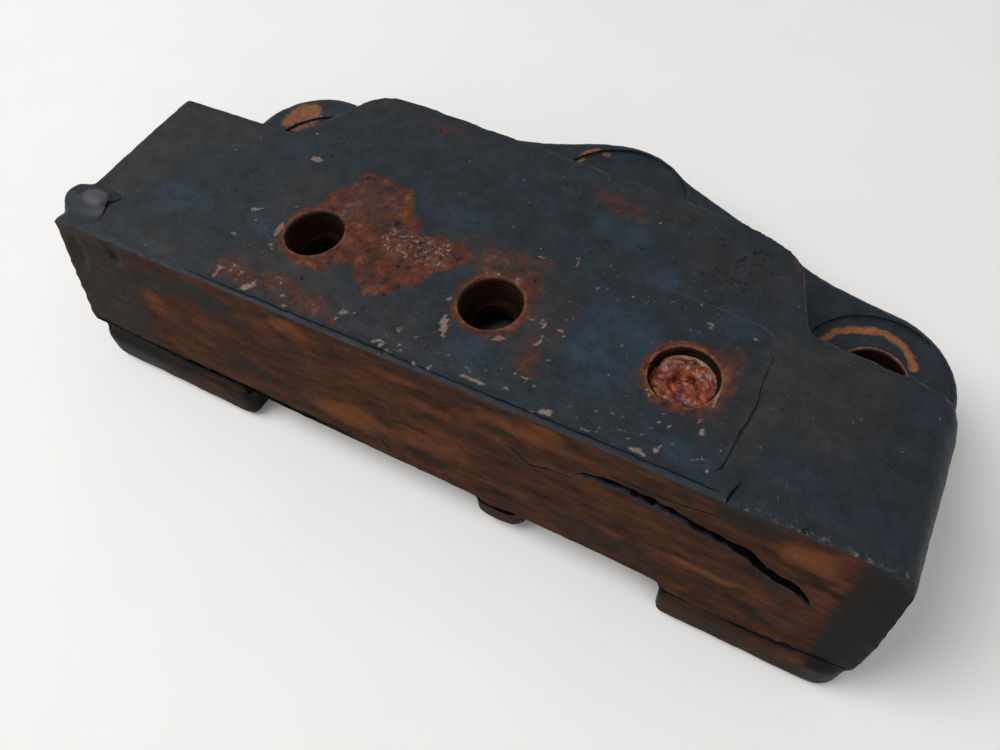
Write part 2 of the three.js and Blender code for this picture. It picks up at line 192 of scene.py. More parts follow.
def noise(points, size, seed):
    """Smooth random heights from -1 to 1: random corner values of a lattice whose cells are
    `size` wide, joined inside each cell by s = t*t*(3-2t) along each axis."""
    table = np.random.default_rng(seed).uniform(-1, 1, (32, 32, 32))
    scaled = np.asarray(points, float) / size
    cell = np.floor(scaled).astype(int)
    t = scaled - cell
    t = t * t * (3 - 2 * t)
    total = np.zeros(len(scaled))
    for corner in itertools.product((0, 1), repeat=3):
        weight = np.prod(np.where(np.array(corner) == 1, t, 1 - t), axis=1)
        i, j, k = ((cell + corner) % 32).T
        total += weight * table[i, j, k]
    return total


def grid(points, close_rows=False, close_columns=False, start=None, end=None):
    """A grid of points as a surface: neighbours in rows and columns are joined by four-sided
    faces, and a pole before the first row or after the last one closes it with triangles."""
    rows, columns = points.shape[:2]
    index = np.arange(rows * columns).reshape(rows, columns)
    if close_columns:
        index = np.concatenate([index, index[:, :1]], 1)
    if close_rows:
        index = np.concatenate([index, index[:1]], 0)
    corners = [index[:-1, :-1], index[:-1, 1:], index[1:, 1:], index[1:, :-1]]
    quads = np.stack(corners, -1).reshape(-1, 4)
    vertices = points.reshape(-1, 3)
    triangles = np.zeros((0, 3), int)
    for pole, edge in ((start, index[0, ::-1]), (end, index[-1])):
        if pole is not None:
            tip = np.full(len(edge) - 1, len(vertices))
            vertices = np.vstack([vertices, pole])
            triangles = np.vstack([triangles, np.stack([edge[:-1], edge[1:], tip], -1)])
    return outward(vertices, quads, triangles)


def outward(vertices, quads, triangles):
    """The same closed surface with its faces turned outwards, by the sign of its volume, which
    is the sum over triangles of a . (b x c)."""
    flat = np.vstack([quads[:, :3], quads[:, [0, 2, 3]], triangles])
    a, b, c = (vertices - vertices.mean(0))[flat].transpose(1, 0, 2)
    if np.einsum("ij,ij->", a, np.cross(b, c)) < 0:
        quads = quads[:, ::-1]
        triangles = triangles[:, ::-1]
    return vertices, quads, triangles


def together(shapes):
    """Separate closed surfaces as one list of points and faces."""
    counts = np.cumsum([0] + [len(vertices) for vertices, _, _ in shapes])
    vertices = np.vstack([shape[0] for shape in shapes])
    quads = np.vstack([shape[1] + n for shape, n in zip(shapes, counts)])
    triangles = np.vstack([shape[2] + n for shape, n in zip(shapes, counts)])
    return vertices, quads, triangles


def turned(profile, sides, centre=(0, 0, 0), axis="Z"):
    """Radius and height pairs turned about an axis: x = r cos a, y = r sin a, z = h. A profile
    that starts and ends on the axis is closed by poles, and any other runs back to its start."""
    profile = np.asarray(profile, float)
    solid = profile[0, 0] == 0 and profile[-1, 0] == 0
    rows = profile[1:-1] if solid else profile
    angle = np.linspace(0, 2 * np.pi, sides, endpoint=False)
    radius = rows[:, :1]
    height = np.repeat(rows[:, 1:], sides, 1)
    points = np.stack([radius * np.cos(angle), radius * np.sin(angle), height], -1)
    poles = ((0, 0, profile[0, 1]), (0, 0, profile[-1, 1])) if solid else (None, None)
    vertices, quads, triangles = grid(points, not solid, True, *poles)
    if axis == "X":
        vertices = vertices[:, [2, 0, 1]]
    return vertices + np.array(centre, float), quads, triangles


def eased(profile, reach, steps=3):
    """A profile whose corners give way to short curves: the quadratic curve from `reach` before
    the corner to `reach` after it. Points on the axis stay."""
    points = np.asarray(profile, float)
    solid = points[0, 0] == 0 and points[-1, 0] == 0
    before = np.roll(points, 1, 0) - points
    after = np.roll(points, -1, 0) - points
    t = np.linspace(0, 1, steps)[None, :, None]
    ends = []
    for way in (before, after):
        length = np.linalg.norm(way, axis=1, keepdims=True)
        ends.append(points + way * np.minimum(reach, 0.45 * length) / np.maximum(length, 1e-9))
    curve = (1 - t) ** 2 * ends[0][:, None] + 2 * t * (1 - t) * points[:, None]
    curve = (curve + t ** 2 * ends[1][:, None]).reshape(-1, 2)
    if solid:
        curve = np.vstack([points[:1], curve[steps:-steps], points[-1:]])
    return curve


def between(start, end, radius, sides=24):
    """A plain round bar from one point to another: rings about the line that joins them."""
    start, end = np.array(start, float), np.array(end, float)
    way = (end - start) / np.linalg.norm(end - start)
    side = np.cross(way, (0, 0, 1) if abs(way[2]) < 0.9 else (1, 0, 0))
    side /= np.linalg.norm(side)
    up = np.cross(way, side)
    angle = np.linspace(0, 2 * np.pi, sides, endpoint=False)[:, None]
    ring = radius * (np.cos(angle) * side + np.sin(angle) * up)
    return grid(np.stack([start + ring, end + ring]), False, True, start, end)


def block(x0, x1, y0, y1, z0, z1, corner=4.0, steps=7):
    """An upright block with rounded corners in plan: each level is the same outline, four
    quarter circles of radius `corner` joined by straight lines."""
    quarter = np.linspace(0, np.pi / 2, steps)
    outline = []
    for turn, (x, y) in enumerate(((x1, y1), (x0, y1), (x0, y0), (x1, y0))):
        angle = quarter + turn * np.pi / 2
        middle = (x - corner * np.sign(x - (x0 + x1) / 2), y - corner * np.sign(y - (y0 + y1) / 2))
        arc = [middle[0] + corner * np.cos(angle), middle[1] + corner * np.sin(angle)]
        outline.append(np.stack(arc, -1))
    outline = np.vstack(outline)
    levels = np.stack([np.column_stack([outline, np.full(len(outline), z)]) for z in (z0, z1)])
    middle = ((x0 + x1) / 2, (y0 + y1) / 2)
    return grid(levels, False, True, (*middle, z0), (*middle, z1))


def resampled(path, step):
    """A path of points with values, taken again at even steps of its length."""
    path = np.asarray(path, float)
    gap = np.linalg.norm(np.diff(path[:, :2], axis=0), axis=1)
    along = np.concatenate([[0], np.cumsum(gap)])
    fine = np.linspace(0, along[-1], max(3, int(along[-1] / step)))
    return np.stack([np.interp(fine, along, column) for column in path.T], -1)


def on_front(x, drop):
    """A point of the leaning front face, `drop` below the top: y falls from 1 to -13.3."""
    z = TOP - np.asarray(drop, float)
    y = 1 - FRONT_LEAN * (FRONT_TOP - z) / (FRONT_TOP - PARTING)
    return np.stack([np.asarray(x, float), y, z], -1)


# Steps along a wedge's path in millimetres, for long and for short wedges
STEP = 1.3
FINE_STEP = 0.8
FRONT_NORMAL = np.array([0, -(FRONT_TOP - PARTING), FRONT_LEAN])
FRONT_NORMAL = FRONT_NORMAL / np.linalg.norm(FRONT_NORMAL)


def groove(path, depth, seed, front=True, step=STEP, rough=0.3):
    """A wedge to cut a crack or seam: at each step of the path, whose rows give two places and a
    width, a five-sided section w wide at the surface runs down to one edge at the depth."""
    row = resampled(path, step)
    width = row[:, 2:3]
    jitter = rough * noise(np.column_stack([row[:, :2], row[:, 0]]), 3.1, seed)[:, None]
    places = row[:, :2] + jitter * np.minimum(width, 1.6) * np.array([0.25, 1.0])
    if front:
        base = on_front(places[:, 0], places[:, 1])
        normal = FRONT_NORMAL
    else:
        base = np.column_stack([places, np.full(len(places), TOP)])
        normal = np.array([0.0, 0.0, 1.0])
    way = np.gradient(base, axis=0)
    side = np.cross(way / np.linalg.norm(way, axis=1, keepdims=True), normal)
    wide = 1 + rough * noise(base, 2.3, seed + 1)[:, None]
    order = np.arange(len(row))
    wide = wide * np.clip(np.minimum(order, order[::-1]) / 3, 0.1, 1)[:, None]
    deep = depth * np.clip(width * wide / width.max(), 0.25, 1)
    section = ((-0.6, 1.2, 0), (0.6, 1.2, 0), (0.42, 0, -0.3), (0.08, 0, -1), (-0.42, 0, -0.35))
    points = np.stack([
        base + u * width * wide * side + (lift + share * deep) * normal for u, lift, share in section
    ], 1)
    return grid(points, False, True, points[0].mean(0), points[-1].mean(0))


# ---------- objects ----------


def piece(name, shape, sharp=35):
    """A new object from points and faces in the casting's axes, its place in its mesh."""
    vertices, quads, triangles = shape
    mesh = bpy.data.meshes.new(name)
    mesh.from_pydata(placed(vertices).tolist(), [], quads.tolist() + triangles.tolist())
    mesh.shade_smooth()
    mesh.set_sharp_from_angle(angle=math.radians(sharp))
    made = bpy.data.objects.new(name, mesh)
    bpy.context.scene.collection.objects.link(made)
    return made


def settle(made):
    """Applies an object's modifiers to its mesh."""
    graph = bpy.context.evaluated_depsgraph_get()
    mesh = bpy.data.meshes.new_from_object(made.evaluated_get(graph))
    made.modifiers.clear()
    old = made.data
    made.data = mesh
    bpy.data.meshes.remove(old)


def worked(made, operation, shapes, keep_out=None):
    """Joins separate closed shapes to an object, or cuts them from it. What lies inside the
    keep-out shape is taken off them first."""
    tool = piece("tool", together(shapes))
    if keep_out:
        worked(tool, "DIFFERENCE", [keep_out])
    step = made.modifiers.new("Work", "BOOLEAN")
    step.operation = operation
    step.solver = "MANIFOLD"
    step.object = tool
    settle(made)
    bpy.data.meshes.remove(tool.data)
    if len(made.data.polygons) == 0:
        raise RuntimeError(f"{made.name} lost its faces while it was worked")


def points_of(mesh):
    """A mesh's points in the casting's axes and millimetres."""
    flat = np.empty(len(mesh.vertices) * 3, np.float32)
    mesh.vertices.foreach_get("co", flat)
    return flat.reshape(-1, 3).astype(float) / MM - START


def normals_of(mesh):
    flat = np.empty(len(mesh.vertices) * 3, np.float32)
    mesh.vertices.foreach_get("normal", flat)
    return flat.reshape(-1, 3).astype(float)


def set_points(mesh, points):
    mesh.vertices.foreach_set("co", placed(points).astype(np.float32).ravel())
    mesh.update()


def store(mesh, name, values):
    """Writes one number per point, for the materials to read."""
    attribute = mesh.attributes.new(name, "FLOAT", "POINT")
    attribute.data.foreach_set("value", np.clip(values, 0, 1).astype(np.float32))


def hand_over(made, node, body, material):
    """Puts a finished piece in a CAD node's place."""
    made.data.materials.clear()
    made.data.materials.append(material)
    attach(made, body)
    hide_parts(node)
    return made


# ---------- casting skin ----------

# Patches on the top face, as plan outlines in millimetres
TOP_RUST = (
    ((116, 78), (119, 88), (130, 86), (143, 84), (152, 76), (158, 69), (162, 62), (172, 64),
     (182, 65), (191, 61), (190, 56), (183, 50), (178, 46), (177, 39), (172, 33), (168, 27),
     (158, 23), (150, 26), (145, 32), (136, 34), (133, 26), (118, 25), (112, 29), (128, 33),
     (133, 44), (130, 56), (118, 59), (109, 60), (111, 68)),
)
FAINT_RUST = (
    ((88, 6), (86, 14), (98, 22), (112, 20), (128, 13), (150, 8), (150, 4), (120, 3)),
    ((191, 70), (202, 70), (222, 72), (226, 60), (228, 45), (226, 30), (218, 23), (204, 24),
     (196, 34), (192, 52)),
    ((294, 62), (306, 62), (311, 45), (306, 28), (300, 22), (290, 22), (296, 28), (303, 38)),
    ((228, 46), (233, 42), (238, 30), (242, 16), (236, 10), (230, 20)),
    ((268, 36), (277, 42), (281, 30), (275, 28)),
    ((118, 20), (152, 14), (166, 7), (150, 4), (116, 4), (108, 12)),
    ((308, 113), (332, 101), (320, 96), (310, 104)),
    ((130, 130), (152, 131), (156, 122), (138, 121)),
    ((218, 121), (246, 117), (247, 104), (222, 108)),
)
CHIPS = (
    # centre, half lengths and turn of each chip, in millimetres and degrees
    (91, 84, 5.5, 2.6, 10), (92.5, 9, 4.5, 2, -55), (103.5, 11, 1.6, 3.6, 0),
    (111, 8, 5, 2, 15), (102, 40, 2.6, 8, 12), (106, 30, 4, 1.8, -30),
    (197, 24, 2.6, 10.5, 26), (192, 37, 1.6, 3.4, 0), (232, 42, 2, 5, 35), (235, 34, 1.6, 4, 20),
    (220, 6.8, 9, 1.4, 0), (221.5, 11.4, 1.8, 1.2, 20), (252, 5.8, 4.4, 1.8, 0),
    (265.5, 5.2, 2.6, 1.5, 0), (286, 5.8, 6.5, 1.5, 0), (292, 9, 2, 2.6, 20),
    (276.5, 15.8, 1.8, 2.8, -30), (160.3, 13.8, 2, 1.6, 0), (229.5, 78.4, 3.8, 1.3, -10),
    (231, 74.6, 1.8, 3, 0), (246, 67.4, 6, 0.9, 22), (249.6, 71, 0.8, 3.4, 0),
    (215.4, 71.6, 3, 1.3, 30), (308, 67.6, 1.5, 2.7, 15), (281, 30, 1.5, 4, 20),
    (303.4, 38, 1.3, 8, -8), (304, 22, 2.6, 2.2, 0), (302, 26, 1.4, 3, 30),
    (264.5, 44, 1, 2.4, 20), (272.6, 72.6, 3, 1, 40), (140.4, 30, 1.2, 1.2, 0),
    (158, 12.6, 1.4, 1, 0), (178, 6.8, 4, 1.2, 10), (184.6, 4.8, 1.6, 1, 0),
    (186, 49.6, 2, 1.2, -20), (219, 27, 1.6, 1.2, 0), (236, 28, 1, 1.4, 0),
    (240, 5, 3, 1.2, 0), (299, 4.6, 3, 0.9, 0), (149.6, 54, 1.2, 6, 35), (151.4, 42, 1, 7, 8),
)
# Rust on the ears: the ring round the right hole, the left ear's blotch, the centre ear's arc
RIGHT_RING = (
    (329, 98), (329.5, 103), (333, 109), (339, 113.5), (345.5, 116), (352, 116.5), (358, 113.5),
    (362.5, 109), (365, 104),
)
LEFT_BLOTCH = (
    (26.8, 123.2), (23.4, 133.3), (26.8, 144.6), (38.1, 148), (45.9, 139), (43.7, 132.2),
    (38.1, 122.1),
)
CENTRE_ARC = ((190, 161.5), (191, 168), (196, 172.7), (202, 172.7))
BRIGHT_SOIL = (
    # centre, half lengths and strength of brighter soil on the front face, as x and drop
    (136, 6, 14, 5, 1.0), (128, 12, 20, 3, 0.5), (185, 7, 22, 6, 0.55), (243, 7, 26, 6, 0.9),
    (254, 4, 10, 5, 1.0), (162, 42, 26, 9, 1.0), (203, 36, 22, 12, 0.75), (232, 42, 24, 8, 0.5),
    (52, 26, 12, 11, 0.75), (60, 44, 10, 6, 0.4), (318, 40, 24, 3.2, 1.0), (290, 43, 20, 3, 0.6),
    (350, 10, 14, 8, 1.0), (361, 24, 7, 14, 0.6), (340, 44, 8, 14, 0.55), (320, 55, 26, 3, 0.4),
    (80, 64, 10, 5, 0.8), (150, 20, 40, 8, 0.35), (215, 18, 40, 8, 0.4), (96, 28, 20, 5, 0.3),
)
DARK_SOIL = (
    # dark, greenish or bare places on the front face
    (78, 12, 27, 6.5, 1.0), (60, 16, 12, 5, 0.9), (95, 16, 24, 4, 0.5), (33.5, 7, 3.6, 6, 1.0),
    (8, 15, 5, 9, 0.9), (373, 30, 9, 40, 1.0), (329, 6, 14, 6, 0.9), (306, 4, 16, 4, 0.5),
    (278, 48, 32, 6, 0.75), (104, 38, 20, 9, 0.55), (115, 47, 30, 5, 0.5), (35, 35, 9, 1.2, 0.8),
    (342, 30, 10, 4, 0.8), (30, 27, 14, 5, 0.35), (352, 47, 14, 10, 0.45), (318, 48, 18, 3, 0.5),
    (160, 5, 8, 4, 0.4), (224, 9, 3, 2.4, 0.7),
)


# Dents and wide hollows of the front face, as x and drop, and the sunk panel round the ports
DENTS = ((33.5, 7, 4.0, 7, 1.0), (8, 15, 4.5, 9, 0.6), (35, 35, 9, 1.6, 0.5))
HOLLOWS = ((78, 12, 30, 7, 0.6), (342, 30, 12, 5, 0.8))
PANEL = ((84, 4), (312, 4), (316, 30), (315, 74), (240, 78), (232, 10), (84, 8))


def spots(u, v, table):
    """Soft ellipses, the strongest of them at each place: 1 inside and 0 outside by the radius,
    which is the length of (du/a, dv/b) after the turn. Bright soil slopes over nearly all of
    the radius and the rest near its end, and chips are drawn at 0.7 of their listed size."""
    best = np.zeros(len(u))
    flat, clear = (0.15, 1.5) if table is BRIGHT_SOIL else (0.7, 1.3)
    shrink = 0.7 if table is CHIPS else 1.0
    for x, y, a, b, *rest in table:
        turn, strength = (rest[0], 1.0) if table is CHIPS else (0, rest[0])
        a, b = shrink * a, shrink * b
        c, s = math.cos(math.radians(turn)), math.sin(math.radians(turn))
        du, dv = u - x, v - y
        radius = np.hypot((c * du + s * dv) / a, (c * dv - s * du) / b)
        best = np.maximum(best, strength * (1 - ramp(radius, flat, clear)))
    return best


def inside(plan, corners, soft):
    """1 inside a plan outline and 0 outside it, sloping over `soft`: the distance to the nearest
    edge, with its sign from how many edges a ray along X crosses."""
    start = np.array(corners, float)
    way = np.roll(start, -1, 0) - start
    away = plan[:, None] - start
    t = np.clip((away * way).sum(2) / (way * way).sum(1), 0, 1)
    distance = np.linalg.norm(away - t[..., None] * way, axis=2).min(1)
    high = (away[..., 1] < 0) != (away[..., 1] < way[:, 1])
    slope = away[..., 1] * way[:, 0] / np.where(way[:, 1] == 0, 1e-9, way[:, 1])
    odd = (high & (away[..., 0] < slope)).sum(1) % 2 == 1
    return ramp(np.where(odd, distance, -distance), -soft, soft)


def along(plan, path, near, far):
    """1 within `near` of an open path of straight steps and 0 beyond `far` of it: the distance
    to the nearest step, measured to its closest point."""
    start = np.array(path, float)
    way = np.diff(start, axis=0)
    away = plan[:, None] - start[:-1]
    t = np.clip((away * way).sum(2) / (way * way).sum(1), 0, 1)
    distance = np.linalg.norm(away - t[..., None] * way, axis=2).min(1)
    return 1 - ramp(distance, near, far)


def scattered(plan):
    """Small chips at seeded places, denser along the front edge and round the ports: 1 inside
    the nearest chip's radius and 0 beyond it, from one table of distances."""
    rng = np.random.default_rng(19)
    spread = np.concatenate([
        rng.uniform(near, far, (count, 2)) for near, far, count in (
            ((84, 3), (316, 16), 100), ((212, 20), (242, 50), 24), ((262, 14), (308, 34), 20),
            ((84, 24), (108, 60), 16), ((186, 62), (308, 78), 16), ((8, 4), (374, 118), 26),
        )
    ])
    sizes = rng.gamma(2.0, 0.26, len(spread)) + 0.15
    best = np.zeros(len(plan))
    for (x, y), size in zip(spread, sizes):
        distance = np.hypot((plan[:, 0] - x) / 1.3, plan[:, 1] - y)
        best = np.maximum(best, 1 - ramp(distance, size * 0.5, size + 0.8))
    return best


def skin(points, normals):
    """Where each kind of wear, and the painted shade and highlights, lie on the casting, as a number
    from 0 to 1 at every point.
    """
    x, y, z = points.T
    wander = np.stack([noise(points, 8, 11), noise(points, 8, 12)], -1)
    plan = points[:, :2] + 1.6 * wander
    fine = points[:, :2] + 0.7 * wander
    up = ramp(normals[:, 2], 0.5, 0.9)
    top = up * ramp(z, 74, 77)
    ear = up * ramp(z, 47, 48.5) * (1 - ramp(z, 53, 56))
    front = ramp(-normals[:, 1], 0.5, 0.85) * (1 - ramp(y, 2, 4))
    drop = TOP - z

    rust = np.zeros(len(points))
    for outline in TOP_RUST:
        rust = np.maximum(rust, inside(plan, outline, 3.0))
    for outline in FAINT_RUST:
        rust = np.maximum(rust, 0.52 * inside(plan, outline, 5.0))
    rim = np.zeros(len(points))
    for px, py in PORTS:
        ring = np.hypot(x - px, y - py)
        rim = np.maximum(rim, 1 - ramp(np.abs(ring - PORT_MOUTH - 0.6), 1.0, 3.4))
    faded = spots(x, y, ((130, 70, 18, 15, 0.4), (152, 32, 14, 8, 0.3)))
    rust = np.maximum(rust * (1 - faded), 0.8 * rim) * top
    crust = inside(plan, ((143, 68), (156, 66), (178, 66), (190, 57), (178, 45), (150, 42)), 5.0)
    crust = np.maximum(crust, 0.56 * inside(plan, TOP_RUST[0], 4.0)) * top
    specks = ((100, 14, 18, 10, 0.55), (130, 10, 20, 6, 0.5), (238, 24, 14, 16, 0.45))
    crust = np.maximum(crust, spots(x, y, specks) * top)
    for px, py, bearing, reach, strength in (
        (*PORTS[1], 105, 50, 1.0), (*PORTS[2], 95, 60, 0.8), (*PORTS[0], 175, 60, 0.6),
        (*PORTS[2], -10, 70, 0.5),
    ):
        ring = np.hypot(x - px, y - py)
        turn = np.degrees(np.arctan2(y - py, x - px)) - bearing
        turn = np.abs((turn + 180) % 360 - 180)
        near = 1 - ramp(np.abs(ring - PORT_MOUTH - 1.8), 0.8, 2.6)
        near = near * (1 - ramp(turn, reach * 0.6, reach))
        crust = np.maximum(crust, strength * near * top)

    chip = np.maximum(spots(*fine.T, CHIPS), scattered(fine)) * top
    nick = ramp(x, 320, 326) * (1 - ramp(y, 2.2, 9)) * top * 0.6
    line = (1 - ramp(np.abs(y - 6.2), 0.6, 1.6)) * ramp(x, 86, 92) * (1 - ramp(x, 306, 312)) * top
    chip = np.maximum.reduce([chip, nick, 0.5 * line])

    fx, fd = x + 2.5 * wander[:, 0], drop + 1.5 * wander[:, 1]
    bright = spots(fx, fd, BRIGHT_SOIL) * front
    bare = spots(fx, fd, DARK_SOIL) * front
    soil = front * (0.84 - 0.5 * (1 - ramp(x, 40, 56)) - 0.6 * ramp(x, 362, 370))
    soil = np.maximum(soil - 0.6 * bare, 0)
    soil = np.maximum(soil, 0.8 * bright) * (0.6 + 0.4 * ramp(z, 18, 24))

    # Orange rims at the ports, partly a painted highlight on their chamfers, and a ring, a blotch and
    # a crescent on the ears
    chamfer_rust_and_highlight = np.zeros(len(points))
    _, _, _, hx, hy, _ = EARS[2]
    ring = np.hypot(x - hx, y - hy)
    arc = 0.85 * along(points[:, :2] + 0.9 * wander, RIGHT_RING, 0.5, 3.4)
    lip = 0.85 * (1 - ramp(ring - BOLT_HOLE_RADIUS, 0.6, 2.0))
    for px, py in PORTS:
        brim = 1 - ramp(np.abs(np.hypot(x - px, y - py) - PORT_MOUTH), 0.5, 1.3)
        chamfer_rust_and_highlight = np.maximum(chamfer_rust_and_highlight, 0.6 * brim * top)
    pale = spots(x, y, (
        (366, 110, 3, 3, 0.8), (372, 99, 2.4, 4, 0.9), (368, 118, 3, 2, 0.7),
        (359, 117.5, 2, 1.2, 0.8),
    ))
    orange = np.maximum(arc, lip)
    left = 0.72 * inside(plan, LEFT_BLOTCH, 4.0)
    _, _, _, cx, cy, _ = EARS[1]
    rim = 1 - ramp(np.hypot(x - cx, y - cy) - BOLT_HOLE_RADIUS, 0.6, 2.2)
    crescent = along(plan, CENTRE_ARC, 1.0, 2.6)
    orange = np.maximum.reduce([orange, left, 0.8 * crescent, 0.7 * rim]) * ear
    crust = np.maximum(crust, pale * ear)

    # Painted shade in recesses, nearly black: the dents near the left corner and the parting seam
    dark = spots(x, drop, ((33.5, 7, 3.4, 6, 0.9), (7.5, 14, 3, 8, 0.8), (35, 35, 9, 1, 0.6)))
    dark = dark * front
    seam = 1 - ramp(np.abs(drop - 58 - 0.8 * wander[:, 1]), 1.6, 4.4)
    dark = np.maximum(dark, 0.8 * seam * front * (1 - ramp(x, 150, 190)))
    dark = np.maximum(dark, 0.35 * seam * front * ramp(x, 300, 308))

    # Lighter grey paint: near the left end worn paint with a painted highlight, further right rubbed
    # paint
    worn_and_sheen = spots(x, y, ((10, 19, 6.5, 5, 1.0), (14, 12, 6, 3, 0.4))) * ramp(z, 77, 80) * up
    rubbed = spots(x, y, ((258, 86, 10, 6, 1.0), (276, 104, 12, 8, 0.6)))
    worn_and_sheen = np.maximum(worn_and_sheen, 0.3 * rubbed * top)

    blue = np.full(len(points), 0.35)
    for cx, cy, a, b, s in (
        (258, 42, 26, 32, 1.0), (300, 12, 16, 8, 0.8), (102, 20, 14, 12, 0.9),
        (92, 45, 14, 18, 0.8), (212, 18, 14, 10, 0.9), (45, 36, 30, 12, 0.7),
        (175, 78, 26, 10, 0.7), (240, 100, 22, 14, 0.7), (264, 84, 14, 10, 0.8),
        (335, 20, 24, 10, 0.5), (80, 85, 20, 14, 0.5), (300, 70, 12, 6, 0.9),
    ):
        radius = np.hypot((x - cx) / a, (y - cy) / b)
        blue = np.maximum(blue, s * (1 - ramp(radius, 0.3, 1.25)))
    dust = spots(x, y, (
        (15, 60, 16, 40, 0.7), (30, 85, 34, 14, 0.6), (340, 55, 20, 26, 0.7),
        (290, 98, 26, 14, 0.6), (160, 14, 44, 12, 0.5), (60, 12, 44, 8, 0.5),
        (120, 20, 30, 14, 0.9), (232, 40, 12, 26, 0.8), (318, 46, 8, 30, 0.9),
        (100, 60, 14, 20, 0.7), (200, 66, 30, 8, 0.7), (306, 40, 8, 24, 0.6),
        (250, 118, 34, 12, 0.5), (110, 128, 30, 8, 0.5),
    ))
    return {
        "orange": np.maximum(orange, chamfer_rust_and_highlight), "blue": blue * (1 - 0.6 * dust), "dust": dust,
        "rust": rust, "crust": crust, "chip": chip, "soil": soil, "bright": bright,
        "dark": dark, "worn_and_sheen": worn_and_sheen, "top": top, "front": front, "nick": nick,
        # Walls and everything below the parting line, for the painted shade and the duller sheen
        "side": np.maximum(1 - ramp(normals[:, 2], 0.25, 0.6), 1 - ramp(z, 22, 26)),
    }


def rod(radius, low, high, sides, centre, axis="Z"):
    """A plain round rod about an axis: r = radius from one height to the other."""
    profile = ((0, low), (radius, low), (radius, high), (0, high))
    return turned(profile, sides, centre, axis)


def filled_holes():
    """Solids that close the casting's holes while its skin is made: round bars and a block."""
    holes = [rod(14.8, PORT_FLOOR - 9, TOP, 40, (px, py, 0)) for px, py in PORTS]
    holes += [rod(13.8, 0, 49.5, 40, (ear[3], ear[4], 0)) for ear in EARS]
    bores = [rod(33, 26, 64.5, 48, (px, PISTON_Y, 0)) for _, px in PISTONS[::2]]
    middle = [rod(33.2, 25, 64.8, 48, (PISTONS[1][1], PISTON_Y, 0))]
    x0, x1, y0, y1, roof = POCKET
    pocket = [block(x0 - 1.4, x1 + 1.4, y0 - 2, y1 + 2, UNDERSIDE, roof + 1.5, 5)]
    pins = [rod(7, 25, 46, 20, (px, py, 0)) for px, py in PINS]
    gallery = [rod(9.4, 100, RIGHT_END, 24, (0, *GALLERY[:2]), "X")]
    by, bz = BLEED
    bleed = [between((-BOSS_OUT, by, bz), (12, by, bz), 6.6)]
    drill = [between((6, by, bz), (PISTONS[0][1] - 12, PISTON_Y - 9, 60), 4)]
    return [holes, bores, middle, pocket, pins, gallery, bleed, drill]


def threaded_port(x, y, pitch, depth):
    """The tool that cuts a threaded port: r(a, z) = bore + depth * tri(z / pitch + a / turn), a
    helix, widened to a cone at the mouth and stepped in to the passage at the floor."""
    sides = 72
    angle = np.linspace(0, 2 * np.pi, sides, endpoint=False)
    height = np.arange(PORT_FLOOR, TOP + 1.01, pitch / 6)
    a, z = np.meshgrid(angle, height)
    wave = np.abs(((z / pitch + a / (2 * np.pi)) % 1) * 2 - 1)
    fade = ramp(z, PORT_FLOOR, PORT_FLOOR + pitch)
    radius = PORT_RADIUS - 0.1 + depth * wave * fade
    radius = np.maximum(radius, PORT_MOUTH - (TOP - z))
    points = np.stack([x + radius * np.cos(a), y + radius * np.sin(a), z], -1)
    ring = np.stack([np.cos(angle), np.sin(angle), 0 * angle], -1)
    heights = (CYLINDER_TOP - 4, PORT_FLOOR)
    low = np.stack([np.array([x, y, h]) + PASSAGE_RADIUS * ring for h in heights])
    points = np.concatenate([low, points])
    return grid(points, False, True, (x, y, CYLINDER_TOP - 4), (x, y, TOP + 1))


def machined_holes(settings):
    """The tools that cut the machined holes, in groups that don't touch each other."""
    pitch, depth = settings.thread_pitch / MM, settings.thread_depth / MM
    ports = [threaded_port(px, py, pitch, depth) for px, py in PORTS]
    r, seat = BOLT_HOLE_RADIUS, SPOTFACE_FLOOR
    bolt_hole = (
        (0, -2), (r + 2.2, -2), (r, 1.0), (r, seat - 0.9), (r + 2.9, seat + 2), (0, seat + 2),
    )
    ports += [turned(bolt_hole, 72, (ear[3], ear[4], 0)) for ear in EARS]
    r = BORE_RADIUS
    bore = (
        (0, 27), (31.5, 27), (31.5, 34), (r + 0.6, 34), (r, 34.8), (r, 37.5), (29.6, 37.5),
        (29.6, 42.5), (r, 42.5), (r, CYLINDER_TOP - 2), (r - 2, CYLINDER_TOP), (0, CYLINDER_TOP),
    )
    bores = [turned(bore, 72, (px, PISTON_Y, 0)) for _, px in PISTONS]
    x0, x1, y0, y1, roof = POCKET
    pocket = [block(x0, x1, y0, y1, -2, roof, 4)]
    pins = [rod(5.1, 26, 44, 32, (px, py, 0)) for px, py in PINS]
    y, z, radius, plug, seat = GALLERY
    first = PISTONS[0][1]
    drilling = (
        (0, first), (radius, first), (radius, seat), (plug, seat), (plug, RIGHT_END - 0.8),
        (plug + 1.8, RIGHT_END + 1), (0, RIGHT_END + 1),
    )
    gallery = [turned(drilling, 40, (0, y, z), "X")]
    by, bz = BLEED
    bleed = [between((-BOSS_OUT - 2, by, bz), (9, by, bz), 5.1, 32)]
    drill = [between((8, by, bz), (first - 14, PISTON_Y - 10, 60), 2.5, 16)]
    return [ports, bores, pocket, pins, gallery, bleed, drill]


